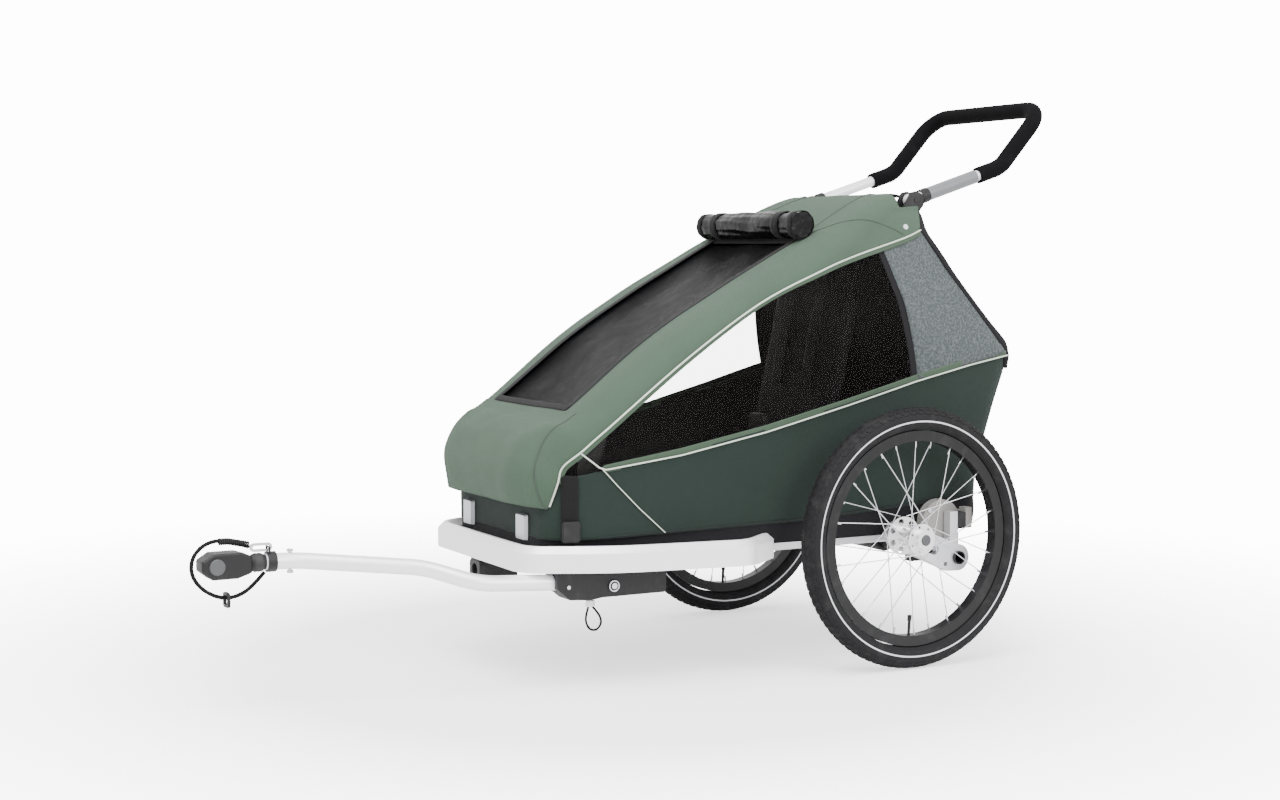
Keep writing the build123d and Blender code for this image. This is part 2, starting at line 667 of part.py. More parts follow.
with BuildPart() as side_window:
    add(CABIN_OUTER)
    add(CABIN_INNER, mode=Mode.SUBTRACT)
    add(ABOVE_HEM, mode=Mode.SUBTRACT)
    add(ABOVE_BELT, mode=Mode.INTERSECT)
    add(zone([(-705, 300), *PILLAR, (-705, 900)], 100, CABIN_REACH), mode=Mode.INTERSECT)
save_pair(side_window, "side_window")

with BuildPart() as side_panel:
    add(CABIN_OUTER)
    add(CABIN_INNER, mode=Mode.SUBTRACT)
    add(ABOVE_HEM, mode=Mode.SUBTRACT)
    add(ABOVE_BELT, mode=Mode.INTERSECT)
    add(zone([*PILLAR, (400, 900), (400, 500)], REAR_HALF + 0.3, CABIN_REACH), mode=Mode.INTERSECT)
save_pair(side_panel, "side_panel")

with BuildPart() as rear_panel:
    add(CABIN_OUTER)
    add(CABIN_INNER, mode=Mode.SUBTRACT)
    add(ABOVE_BELT, mode=Mode.INTERSECT)
    add(zone(REAR_OUTLINE, -REAR_HALF, REAR_HALF), mode=Mode.INTERSECT)
    for hand in (-1, 1):
        add(handle_slot(hand), mode=Mode.SUBTRACT)
save(rear_panel, "rear_panel")

with BuildPart() as lower_body:
    add(CABIN_OUTER)
    add(CABIN_INNER, mode=Mode.SUBTRACT)
    add(ABOVE_BELT, mode=Mode.SUBTRACT)
    add(ABOVE_SKIRT, mode=Mode.INTERSECT)
    add(ABOVE_HEM, mode=Mode.SUBTRACT)
    add(HOOD_FRONT, mode=Mode.SUBTRACT)
save(lower_body, "lower_body")

with BuildPart() as floor_tray:
    add(TRAY_OUTER)
    add(TRAY_INNER, mode=Mode.SUBTRACT)
    add(ABOVE_SKIRT, mode=Mode.SUBTRACT)
    add(bumper_form(growth=1, hollow=False).part, mode=Mode.SUBTRACT)
    for bracket_y in (REAR_PIVOT[0], FRONT_PIVOT[0]):
        with BuildSketch(deck(FLOOR_Z)):
            with GridLocations(2 * (RAIL_X + RAIL_HALF + PLATE / 2), 0, 2, 1):
                with Locations((0, bracket_y)):
                    Rectangle(PLATE + 3, 30)
        extrude(amount=2 * SKIN, mode=Mode.SUBTRACT)
save(floor_tray, "floor_tray")

with BuildPart() as front_reflectors:
    with BuildSketch(across(-712.4)):
        with GridLocations(242, 0, 2, 1):
            with Locations((0, 291)):
                RectangleRounded(38, 48, 4)
    extrude(amount=8, taper=12)
save(front_reflectors, "front_reflectors")

# ---------------------------------------------------------------- seat and harness
BACK_TOP = (8.0, 800.0)
BACK_FOOT = (-78.0, 392.0)
BACK_THICK = 38.0
BACK_WIDTH = 300.0
SEAT_BOTTOM = 300.0
SEAT_THICK = 74.0
SEAT_MIDDLE_Y = -200.0
SEAT_WIDTH = 310.0
SEAT_DEPTH = 270.0
STRAP_WIDTH = 38.0
STRAP_SPACING = 110.0
STRAP_LENGTH = 230.0
back_plane = Plane(
    origin=at(0, BACK_FOOT[0], BACK_FOOT[1]),
    x_dir=(1, 0, 0),
    z_dir=Vector(0, BACK_FOOT[1] - BACK_TOP[1], BACK_TOP[0] - BACK_FOOT[0]),
)
BACK_LENGTH = math.dist(BACK_TOP, BACK_FOOT)

with BuildPart() as seat_pad:
    with BuildSketch(deck(SEAT_BOTTOM)):
        with Locations((0, SEAT_MIDDLE_Y)):
            RectangleRounded(SEAT_WIDTH, SEAT_DEPTH, 30)
    extrude(amount=SEAT_THICK)
    fillet(seat_pad.faces().sort_by(Axis.Z)[-1].edges(), 12)
save(seat_pad, "seat_pad")

with BuildPart() as backrest:
    with BuildSketch(back_plane):
        with Locations((0, BACK_LENGTH / 2)):
            RectangleRounded(BACK_WIDTH, BACK_LENGTH, 40)
    extrude(amount=-BACK_THICK)
    fillet(backrest.faces().sort_by(Axis.Y)[0].edges(), 10)
save(backrest, "backrest")

with BuildPart() as harness_straps:
    with BuildSketch(back_plane.offset(0.4)):
        with GridLocations(STRAP_SPACING, 0, 2, 1):
            with Locations((0, BACK_LENGTH / 2 + 40)):
                Rectangle(STRAP_WIDTH, STRAP_LENGTH)
    extrude(amount=10)
    with BuildSketch(side(-14)):
        with Locations((-136, 392.5)):
            Rectangle(6, 36.4)
    extrude(amount=28)
save(harness_straps, "harness_straps")

with BuildPart() as harness_buckle:
    with BuildSketch(across(-128)):
        with Locations((0, 440)):
            RectangleRounded(52, 58, 12)
    extrude(amount=14)
    fillet(harness_buckle.faces().sort_by(Axis.Y)[0].edges(), 3)
save(harness_buckle, "harness_buckle")

with BuildPart() as rain_cover_roll:
    with BuildSketch(side(-182)):
        with Locations((-148.5, 847)):
            Circle(27)
    extrude(amount=364)
    fillet(rain_cover_roll.edges().filter_by(GeomType.CIRCLE), 7)
save(rain_cover_roll, "rain_cover_roll")

# ---------------------------------------------------------------- drawbar and lock pin
DRAWBAR_ROUTE = [
    (DRAWBAR_X, -470.0, 184.0),
    (DRAWBAR_X, -838.0, 206.0),
    (152.0, -922.0, 235.0),
    (HITCH_X, -1140.0, 257.0),
    (HITCH_X, -1196.0, HITCH_Z + 0.5),
]
DRAWBAR_RADII = [120.0, 170.0, 150.0]
DRAWBAR_WALL = 2.0
BRACKET_OUTLINE = [
    (-694, 218.5), (-694, 188), (-668, 166), (-625, 163), (-604, 166), (-474, 166), (-470, 172), (-470, 218.5)
]
BRACKET_HALF = 24.0
BOLT_Y = -1151.0
PIN_TOP = 200.0
PIN_HEAD_TOP = 158.0
PIN_HEAD_BOTTOM = 148.0
PIN_HEAD_R = 8.5

drawbar_line = [at(*point) for point in DRAWBAR_ROUTE]
drawbar_solid = bent_tube(drawbar_line, DRAWBAR_RADII, DRAWBAR_R, DRAWBAR_R - DRAWBAR_WALL)
with BuildPart() as drawbar_tube:
    add(drawbar_solid.part)
    with BuildSketch(deck(150)):
        with Locations((DRAWBAR_X, LOCK_Y)):
            Circle(4.3)
    extrude(amount=46, mode=Mode.SUBTRACT)
    with BuildSketch(deck(230)):
        with Locations((HITCH_X, BOLT_Y)):
            Circle(3.1)
    extrude(amount=60, mode=Mode.SUBTRACT)
save(drawbar_tube, "drawbar_tube")

with BuildPart() as drawbar_bracket:
    with BuildSketch(side(DRAWBAR_X - BRACKET_HALF)):
        with BuildLine():
            Polyline(*BRACKET_OUTLINE, close=True)
        make_face()
    extrude(amount=2 * BRACKET_HALF)
    slope = at(*DRAWBAR_ROUTE[1]) - at(*DRAWBAR_ROUTE[0])
    with BuildSketch(Plane(origin=at(*DRAWBAR_ROUTE[0]) - slope * 0.05, z_dir=slope)):
        Circle(DRAWBAR_R + 0.1)
    extrude(amount=slope.length, mode=Mode.SUBTRACT)
    with BuildSketch(deck(150)):
        with Locations((DRAWBAR_X, LOCK_Y)):
            Circle(HINGE_BOLT_R + RUNNING_GAP)
    extrude(amount=50, mode=Mode.SUBTRACT)
save(drawbar_bracket, "drawbar_bracket")

with BuildPart() as lock_pin:
    with BuildSketch(deck(PIN_HEAD_BOTTOM)):
        with Locations((DRAWBAR_X, LOCK_Y)):
            Circle(HINGE_BOLT_R)
    extrude(amount=PIN_TOP - PIN_HEAD_BOTTOM)
    with BuildSketch(deck(PIN_HEAD_BOTTOM)):
        with Locations((DRAWBAR_X, LOCK_Y)):
            Circle(PIN_HEAD_R)
    extrude(amount=PIN_HEAD_TOP - PIN_HEAD_BOTTOM)
save(lock_pin, "lock_pin")

# ---------------------------------------------------------------- hitch
with BuildPart() as coupling_head:
    with BuildSketch(side(HITCH_X - 21)):
        with BuildLine():
            Polyline((-1224, 244), (-1224, 273), (-1246, 280.5), (-1292, 280.5), (-1312, 268), (-1312, 250),
                     (-1294, 235.5), (-1250, 235.5), close=True)
        make_face()
    extrude(amount=42)
    fillet(coupling_head.edges().filter_by(Axis.X), 5)
    chamfer(coupling_head.faces().sort_by(Axis.X)[0].edges(), 3)
    chamfer(coupling_head.faces().sort_by(Axis.X)[-1].edges(), 3)
    with BuildSketch(side(HITCH_X - 21)):
        with Locations((HITCH_Y, HITCH_Z)):
            Circle(HITCH_BORE_R)
    extrude(amount=HITCH_BORE_DEPTH, mode=Mode.SUBTRACT)
    with BuildSketch(side(HITCH_X + 11)):
        with Locations((HITCH_Y, HITCH_Z)):
            Circle(14.2)
    extrude(amount=20, mode=Mode.SUBTRACT)
save(coupling_head, "coupling_head")

with BuildPart() as coupling_button:
    with BuildSketch(side(HITCH_X + 15)):
        with Locations((HITCH_Y, HITCH_Z)):
            Circle(14)
    extrude(amount=9)
    chamfer(coupling_button.faces().sort_by(Axis.X)[-1].edges(), 1.5)
save(coupling_button, "coupling_button")

with BuildPart() as flex_joint:
    with BuildSketch(side(HITCH_X)):
        with BuildLine():
            Polyline((-1223.7, HITCH_Z + 0.5), (-1223.7, 271), (-1216, 275), (-1204, 275), (-1196.3, 271),
                     (-1196.3, HITCH_Z + 0.5), close=True)
        make_face()
    revolve(axis=Axis(at(HITCH_X, 0, HITCH_Z + 0.5), (0, 1, 0)))
save(flex_joint, "flex_joint")

with BuildPart() as coupling_bolt:
    with BuildSketch(deck(236)):
        with Locations((HITCH_X, BOLT_Y)):
            Circle(3)
    extrude(amount=42)
    for seat_z, thick in ((236, 4.5), (273.5, 4.5)):
        with BuildSketch(deck(seat_z)):
            with Locations((HITCH_X, BOLT_Y)):
                RegularPolygon(5.8, 6)
        extrude(amount=thick)
save(coupling_bolt, "coupling_bolt")

with BuildPart() as tether_collar:
    with BuildSketch(across(-1178)):
        with Locations((HITCH_X, HITCH_Z + 0.3)):
            Circle(18)
            Circle(DRAWBAR_R + 0.5, mode=Mode.SUBTRACT)
    extrude(amount=16)
    for leg_x in (HITCH_X - 9, HITCH_X + 9):
        with BuildSketch(deck(272)):
            with Locations((leg_x, -1190)):
                Circle(1.6)
        extrude(amount=14)
    with BuildSketch(side(HITCH_X - 9)):
        with Locations((-1190, 284.5)):
            Circle(1.6)
    extrude(amount=18)
save(tether_collar, "tether_collar")

with BuildPart() as snap_hook:
    with BuildSketch(side(HITCH_X - 2.5)):
        with Locations(Location((-1203, 284.5))):
            SlotOverall(40, 15)
            SlotOverall(30, 6.5, mode=Mode.SUBTRACT)
    extrude(amount=5)
save(snap_hook, "snap_hook")

with BuildPart() as d_ring:
    with BuildSketch(across(-1262)):
        with Locations((HITCH_X, 197.6)):
            RectangleRounded(29, 26, 7)
            RectangleRounded(19, 16, 4, mode=Mode.SUBTRACT)
    extrude(amount=5)
save(d_ring, "d_ring")


# ---------------------------------------------------------------- straps and cords
def arc_radii(points):
    """Largest even arc at each corner: 0.45 of the shorter run over the tangent of half the turn."""
    radii = []
    for before, corner, after in zip(points, points[1:], points[2:]):
        run_in = corner - before
        run_out = after - corner
        half_turn = math.radians(run_in.get_angle(run_out) / 2)
        radii.append(0.45 * min(run_in.length, run_out.length) / math.tan(half_turn))
    return radii


def cord(route, cord_r):
    points = [at(*point) for point in route]
    radii = arc_radii(points)
    tube = bent_tube(points, radii, cord_r)
    length = tube.part.volume / (math.pi * cord_r**2)
    print("cord radii", [round(radius, 1) for radius in radii], "length", round(length, 1))
    return tube


LEASH_R = 3.5
LOOP_R = 2.0
LEASH = [(100, -1225, 286.5), (100, -1260, 301), (100, -1297, 300), (100, -1323, 278), (100, -1327, 246),
         (100, -1306, 216), (100, -1270, 199), (100, -1239, 204), (100, -1214, 222), (100, -1197, 241)]
PULL_LOOP = [(200, -619.5, 146.5), (200, -627, 127), (200, -620, 106), (200, -604, 101), (200, -592, 113),
             (200, -597, 132), (200, -611.5, 146.5)]

leash = cord(LEASH, LEASH_R)
save(leash, "leash")
pull_loop = cord(PULL_LOOP, LOOP_R)
save(pull_loop, "pull_loop")
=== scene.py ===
import math

import bmesh
import bpy
import numpy as np
from mathutils import Matrix, Vector, noise


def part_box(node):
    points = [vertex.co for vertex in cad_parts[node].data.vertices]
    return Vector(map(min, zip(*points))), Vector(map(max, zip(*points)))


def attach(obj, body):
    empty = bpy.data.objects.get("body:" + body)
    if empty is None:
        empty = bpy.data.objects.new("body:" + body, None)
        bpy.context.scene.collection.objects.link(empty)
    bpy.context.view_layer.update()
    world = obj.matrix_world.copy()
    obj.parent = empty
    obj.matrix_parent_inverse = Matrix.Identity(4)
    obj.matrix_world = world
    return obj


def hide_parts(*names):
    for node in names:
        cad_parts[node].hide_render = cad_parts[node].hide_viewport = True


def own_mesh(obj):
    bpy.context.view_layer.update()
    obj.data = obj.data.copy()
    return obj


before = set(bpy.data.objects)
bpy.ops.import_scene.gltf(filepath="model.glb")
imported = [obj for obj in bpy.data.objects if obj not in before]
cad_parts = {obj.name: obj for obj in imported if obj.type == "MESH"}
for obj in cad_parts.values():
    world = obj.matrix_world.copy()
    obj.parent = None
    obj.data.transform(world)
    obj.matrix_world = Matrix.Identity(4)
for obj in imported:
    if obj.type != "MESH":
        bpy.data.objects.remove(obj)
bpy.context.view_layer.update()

# ---------------------------------------------------------------- places, in metres
# Lengths along Y in the lists below are counted from the wheel axle.
TYRE_LOW, TYRE_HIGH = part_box("tyre_left")
AXLE_Y = (TYRE_LOW.y + TYRE_HIGH.y) / 2
WHEEL_X = (TYRE_LOW.x + TYRE_HIGH.x) / 2
SKIN = 0.0014  # thickness of cloth
FILM = 0.0008  # thickness of net and film
STRAP = 0.0024  # thickness of harness webbing


def at(x, y, z):
    return Vector((x, AXLE_Y + y, z))


STUDIO_GAIN = 0.32  # the studio is bright, so painted colours are darker by this


def paint(red, green, blue, gain=STUDIO_GAIN):
    """A display colour, 0 to 255, as the linear values that shaders take under this studio's light."""
    out = []
    for value in (red, green, blue):
        share = value / 255
        out.append(gain * (share / 12.92 if share <= 0.04045 else ((share + 0.055) / 1.055) ** 2.4))
    return (*out, 1.0)


# ---------------------------------------------------------------- camera
def set_camera():
    lens_mm = 56.19
    place = at(3.42662, -2.24976, 0.79380)
    aim = Vector((-0.87805, 0.47282, -0.07400))
    data = bpy.data.cameras.new("camera")
    data.lens = lens_mm
    data.sensor_width = 36.0
    data.clip_end = 200.0
    camera = bpy.data.objects.new("camera", data)
    camera.location = place
    camera.rotation_euler = aim.to_track_quat("-Z", "Y").to_euler()
    bpy.context.scene.collection.objects.link(camera)
    bpy.context.scene.camera = camera


set_camera()

# ---------------------------------------------------------------- shared shader groups
LIBRARY = {}


def start_group(name, inputs, outputs):
    """A node group with named sockets; each input is (name, type, default)."""
    group = bpy.data.node_groups.new(name, "ShaderNodeTree")
    for label, kind, value in inputs:
        socket = group.interface.new_socket(label, in_out="INPUT", socket_type=kind)
        if value is not None:
            socket.default_value = value
    for label, kind in outputs:
        group.interface.new_socket(label, in_out="OUTPUT", socket_type=kind)
    tree_in = group.nodes.new("NodeGroupInput")
    tree_out = group.nodes.new("NodeGroupOutput")
    LIBRARY[name] = group
    return group, tree_in, tree_out


def math_node(tree, operation, first, second=None):
    """A Math node; each input is a socket or a number."""
    node = tree.nodes.new("ShaderNodeMath")
    node.operation = operation
    for index, value in enumerate((first, second)):
        if value is None:
            continue
        if isinstance(value, (int, float)):
            node.inputs[index].default_value = value
        else:
            tree.links.new(value, node.inputs[index])
    return node.outputs[0]


def clamp(tree, value):
    """The value kept between 0 and 1."""
    return math_node(tree, "MINIMUM", math_node(tree, "MAXIMUM", value, 0.0), 1.0)


def mix_colour(tree, factor, first, second):
    node = tree.nodes.new("ShaderNodeMix")
    node.data_type = "RGBA"
    for index, value in ((0, factor), (6, first), (7, second)):
        if isinstance(value, bpy.types.NodeSocket):
            tree.links.new(value, node.inputs[index])
        else:
            node.inputs[index].default_value = value
    return node.outputs[2]


def object_axes(tree):
    coordinates = tree.nodes.new("ShaderNodeTexCoord")
    split = tree.nodes.new("ShaderNodeSeparateXYZ")
    tree.links.new(coordinates.outputs["Object"], split.inputs[0])
    return coordinates.outputs["Object"], split.outputs


def noise_value(tree, vector, scale, detail=3.0):
    node = tree.nodes.new("ShaderNodeTexNoise")
    node.inputs["Detail"].default_value = detail
    tree.links.new(vector, node.inputs["Vector"])
    if isinstance(scale, (int, float)):
        node.inputs["Scale"].default_value = scale
    else:
        tree.links.new(scale, node.inputs["Scale"])
    return node.outputs["Fac"]


def make_weave_group():
    """Warp and weft threads, with uneven dye and soft creases."""
    tree, entry, exit_node = start_group(
        "woven_cloth",
        [("Colour", "NodeSocketColor", (0.5, 0.5, 0.5, 1)), ("Second", "NodeSocketColor", (0.5, 0.5, 0.5, 1)),
         ("Threads", "NodeSocketFloat", 900.0), ("Melange", "NodeSocketFloat", 0.0),
         ("Crease", "NodeSocketFloat", 0.3)],
        [("Colour", "NodeSocketColor"), ("Height", "NodeSocketFloat"), ("Folds", "NodeSocketFloat"),
         ("Roughness", "NodeSocketFloat")],
    )
    place, axes = object_axes(tree)
    along = math_node(tree, "ADD", axes["Y"], axes["Z"])
    warp = math_node(tree, "SINE", math_node(tree, "MULTIPLY", along, entry.outputs["Threads"]))
    lean = math_node(tree, "SUBTRACT", axes["X"],
                     math_node(tree, "SUBTRACT", axes["Y"], axes["Z"]))
    weft = math_node(tree, "SINE", math_node(tree, "MULTIPLY", lean, entry.outputs["Threads"]))
    threads = math_node(tree, "MULTIPLY", warp, weft)
    fleck = noise_value(tree, place, 260.0, 2.0)
    cloud = noise_value(tree, place, 9.0, 4.0)
    crease = noise_value(tree, place, 24.0, 2.0)
    speck = math_node(tree, "MULTIPLY", math_node(tree, "SUBTRACT", fleck, 0.42), 5.0)
    melange = math_node(tree, "MULTIPLY", clamp(tree, speck), entry.outputs["Melange"])
    shade = mix_colour(tree, melange, entry.outputs["Colour"], entry.outputs["Second"])
    dye = math_node(tree, "MULTIPLY", math_node(tree, "SUBTRACT", cloud, 0.5), 0.35)
    dark = mix_colour(tree, math_node(tree, "MAXIMUM", dye, 0.0), shade, (0.0, 0.0, 0.0, 1))
    thread_dark = math_node(tree, "MULTIPLY", math_node(tree, "MAXIMUM", threads, 0.0), 0.10)
    final = mix_colour(tree, thread_dark, dark, (0.0, 0.0, 0.0, 1))
    soft = math_node(tree, "MULTIPLY", crease, entry.outputs["Crease"])
    height = math_node(tree, "ADD", math_node(tree, "MULTIPLY", threads, 0.16), soft)
    rough = math_node(tree, "ADD", math_node(tree, "MULTIPLY", fleck, 0.18), 0.66)
    tree.links.new(final, exit_node.inputs["Colour"])
    tree.links.new(height, exit_node.inputs["Height"])
    tree.links.new(soft, exit_node.inputs["Folds"])
    tree.links.new(rough, exit_node.inputs["Roughness"])


def make_surface_group():
    """Fine moulded or blasted grain, scuffs and dust for hard pieces."""
    tree, entry, exit_node = start_group(
        "hard_surface",
        [("Colour", "NodeSocketColor", (0.5, 0.5, 0.5, 1)), ("Grain Scale", "NodeSocketFloat", 900.0),
         ("Wear", "NodeSocketFloat", 0.3), ("Base Roughness", "NodeSocketFloat", 0.5)],
        [("Colour", "NodeSocketColor"), ("Height", "NodeSocketFloat"), ("Roughness", "NodeSocketFloat")],
    )
    place, _ = object_axes(tree)
    grain = noise_value(tree, place, entry.outputs["Grain Scale"], 2.0)
    scuff = noise_value(tree, place, 38.0, 6.0)
    worn = math_node(tree, "MULTIPLY", math_node(tree, "SUBTRACT", scuff, 0.52), 3.5)
    worn = math_node(tree, "MULTIPLY", clamp(tree, worn), entry.outputs["Wear"])
    pale = mix_colour(tree, 0.05, entry.outputs["Colour"], (0.8, 0.8, 0.78, 1))
    colour = mix_colour(tree, worn, entry.outputs["Colour"], pale)
    rough = math_node(tree, "ADD", entry.outputs["Base Roughness"],
                      math_node(tree, "MULTIPLY", math_node(tree, "SUBTRACT", scuff, 0.5), 0.22))
    tree.links.new(colour, exit_node.inputs["Colour"])
    tree.links.new(grain, exit_node.inputs["Height"])
    tree.links.new(rough, exit_node.inputs["Roughness"])


def make_mesh_group():
    """Open net: a mask that is 1 on the yarn and less in the holes."""
    tree, entry, exit_node = start_group(
        "open_net",
        [("Holes", "NodeSocketFloat", 2400.0), ("See Through", "NodeSocketFloat", 0.3)],
        [("Cover", "NodeSocketFloat"), ("Height", "NodeSocketFloat")],
    )
    _, axes = object_axes(tree)
    first = math_node(tree, "SINE", math_node(tree, "MULTIPLY", axes["X"], entry.outputs["Holes"]))
    second = math_node(tree, "SINE", math_node(tree, "MULTIPLY", math_node(tree, "ADD", axes["Y"], axes["Z"]),
                                               entry.outputs["Holes"]))
    cell = math_node(tree, "MULTIPLY", first, second)
    hole = math_node(tree, "MULTIPLY", math_node(tree, "ADD", math_node(tree, "MULTIPLY", cell, 0.5), 0.5),
                     entry.outputs["See Through"])
    cover = math_node(tree, "SUBTRACT", 1.0, math_node(tree, "MULTIPLY", hole, 2.0))
    tree.links.new(cover, exit_node.inputs["Cover"])
    tree.links.new(cell, exit_node.inputs["Height"])


make_weave_group()
make_surface_group()
make_mesh_group()


# ---------------------------------------------------------------- materials
def start_material(name):
    material = bpy.data.materials.new(name)
    material.use_nodes = True
    tree = material.node_tree
    shader = tree.nodes["Principled BSDF"]
    return material, tree, shader


def place_group(tree, name, values):
    node = tree.nodes.new("ShaderNodeGroup")
    node.node_tree = LIBRARY[name]
    for label, value in values.items():
        node.inputs[label].default_value = value
    return node


def bump_into(tree, shader, height, distance, strength=1.0):
    bump = tree.nodes.new("ShaderNodeBump")
    bump.inputs["Distance"].default_value = distance
    bump.inputs["Strength"].default_value = strength
    tree.links.new(height, bump.inputs["Height"])
    tree.links.new(bump.outputs["Normal"], shader.inputs["Normal"])


def cloth(name, colour, second=None, melange=0.0, threads=5200.0, crease=0.3, sheen=0.12, bump=0.0012,
          specular=0.22, flat=False):
    material, tree, shader = start_material(name)
    weave = place_group(tree, "woven_cloth", {
        "Colour": colour, "Second": second or colour, "Threads": threads, "Melange": melange,
        "Crease": crease})
    tree.links.new(weave.outputs["Colour"], shader.inputs["Base Color"])
    tree.links.new(weave.outputs["Roughness"], shader.inputs["Roughness"])
    shader.inputs["Sheen Weight"].default_value = sheen
    shader.inputs["Sheen Roughness"].default_value = 0.5
    shader.inputs["Specular IOR Level"].default_value = specular
    bump_into(tree, shader, weave.outputs["Folds" if flat else "Height"], bump)
    return material


def hard(name, colour, rough, metal=0.0, grain=900.0, wear=0.3, bump=0.0001, coat=0.0, specular=0.5):
    material, tree, shader = start_material(name)
    surface = place_group(tree, "hard_surface", {
        "Colour": colour, "Grain Scale": grain, "Wear": wear, "Base Roughness": rough})
    tree.links.new(surface.outputs["Colour"], shader.inputs["Base Color"])
    tree.links.new(surface.outputs["Roughness"], shader.inputs["Roughness"])
    shader.inputs["Metallic"].default_value = metal
    shader.inputs["Specular IOR Level"].default_value = specular
    shader.inputs["Coat Weight"].default_value = coat
    bump_into(tree, shader, surface.outputs["Height"], bump)
    return material


def film(name, colour, alpha, rough):
    material, tree, shader = start_material(name)
    surface = place_group(tree, "hard_surface", {
        "Colour": colour, "Grain Scale": 14.0, "Wear": 0.1, "Base Roughness": rough})
    tree.links.new(surface.outputs["Colour"], shader.inputs["Base Color"])
    tree.links.new(surface.outputs["Roughness"], shader.inputs["Roughness"])
    shader.inputs["Alpha"].default_value = alpha
    shader.inputs["Specular IOR Level"].default_value = 0.06
    bump_into(tree, shader, surface.outputs["Height"], 0.0006)
    return material


def net(name, colour, see_through):
    material, tree, shader = start_material(name)
    holes = place_group(tree, "open_net", {"Holes": 3200.0, "See Through": see_through})
    surface = place_group(tree, "hard_surface", {
        "Colour": colour, "Grain Scale": 300.0, "Wear": 0.05, "Base Roughness": 0.36})
    tree.links.new(surface.outputs["Colour"], shader.inputs["Base Color"])
    tree.links.new(surface.outputs["Roughness"], shader.inputs["Roughness"])
    tree.links.new(holes.outputs["Cover"], shader.inputs["Alpha"])
    shader.inputs["Specular IOR Level"].default_value = 0.05
    bump_into(tree, shader, holes.outputs["Height"], 0.0003)
    return material


SAGE = cloth("sage_cloth", paint(112, 140, 118), crease=0.5, sheen=0.05, bump=0.0010, specular=0.15)
SAGE_HEM = cloth("sage_hem_tape", paint(96, 122, 98), threads=3000.0, bump=0.0006)
GREEN = cloth("dark_green_cloth", paint(44, 64, 56), crease=0.35, sheen=0.05, bump=0.0007, specular=0.2)
BLACK_CLOTH = cloth("black_cloth", paint(44, 43, 47), sheen=0.03, bump=0.002, specular=0.12,
                    flat=True)
LINING = cloth("inner_lining", paint(46, 46, 50), sheen=0.02, bump=0.001, specular=0.1,
               flat=True)
MELANGE = cloth("grey_melange", paint(96, 106, 108), second=paint(142, 150, 152), melange=0.9, threads=2600.0)
WEBBING = cloth("black_webbing", paint(30, 29, 31), threads=2200.0, crease=0.0, sheen=0.04,
                bump=0.0004, specular=0.15)
PIPING = hard("reflective_piping", paint(204, 212, 198, 0.75), 0.42, metal=0.15, grain=2200.0, wear=0.1)
STITCH = hard("sewing_thread", paint(92, 106, 94), 0.8, grain=2500.0, wear=0.1)
DARK_STITCH = hard("dark_thread", paint(30, 40, 37), 0.8, grain=2500.0, wear=0.1)
WINDOW = film("smoky_window", paint(52, 50, 48), 0.18, 0.25)
ROLL_FILM = hard("rolled_film", paint(20, 19, 22), 0.24, grain=30.0, wear=0.2, bump=0.004, coat=0.02,
                 specular=0.14)
NET = net("black_net", paint(10, 9, 12), 0.04)
RUBBER = hard("tyre_rubber", paint(36, 35, 38), 0.72, grain=1400.0, wear=0.35, bump=0.0002, specular=0.2)
REFLECT_BAND = hard("reflective_band", paint(222, 222, 226, 0.75), 0.35, metal=0.1, grain=2000.0, wear=0.05)
RIM_BLACK = hard("anodised_black", paint(34, 33, 36), 0.36, metal=0.4, grain=1200.0, wear=0.3)
SPOKE_STEEL = hard("spoke_steel", paint(206, 206, 210, 1.0), 0.24, metal=1.0, grain=1200.0, wear=0.1)
POLISHED = hard("polished_aluminium", paint(232, 231, 233, 1.0), 0.26, metal=0.75, grain=1500.0, wear=0.2)
CAST = hard("cast_aluminium", paint(214, 214, 218, 1.0), 0.42, metal=0.8, grain=900.0, wear=0.4, bump=0.0003)
SILVER = hard("anodised_silver", paint(244, 243, 246, 1.0), 0.40, metal=0.5, grain=2600.0, wear=0.12,
              bump=0.00006)
BLACK_STEEL = hard("powder_coat", paint(30, 29, 32), 0.42, grain=1500.0, wear=0.3, bump=0.0002, specular=0.35)
BLACK_PLASTIC = hard("moulded_black", paint(34, 33, 36), 0.46, grain=1800.0, wear=0.3, bump=0.0002,
                     specular=0.3)
GREY_PLASTIC = hard("moulded_grey", paint(108, 110, 114), 0.5, grain=1800.0, wear=0.2, bump=0.0002)
HOUSING = hard("housing_grey", paint(160, 157, 153, 0.66), 0.55, grain=1500.0, wear=0.3, bump=0.0002)
FOAM = hard("grip_foam", paint(24, 23, 26), 0.82, grain=700.0, wear=0.1, bump=0.0004, specular=0.06)
ELASTOMER = hard("elastomer", paint(40, 39, 42), 0.6, grain=900.0, wear=0.2)
SLEEVE = hard("sleeve_grey", paint(150, 152, 156, 0.38), 0.3, grain=60.0, wear=0.5, coat=0.4)
LENS = hard("reflector_lens", paint(214, 216, 220, 0.75), 0.16, metal=0.35, grain=500.0, wear=0.1,
            bump=0.0006, coat=0.5)

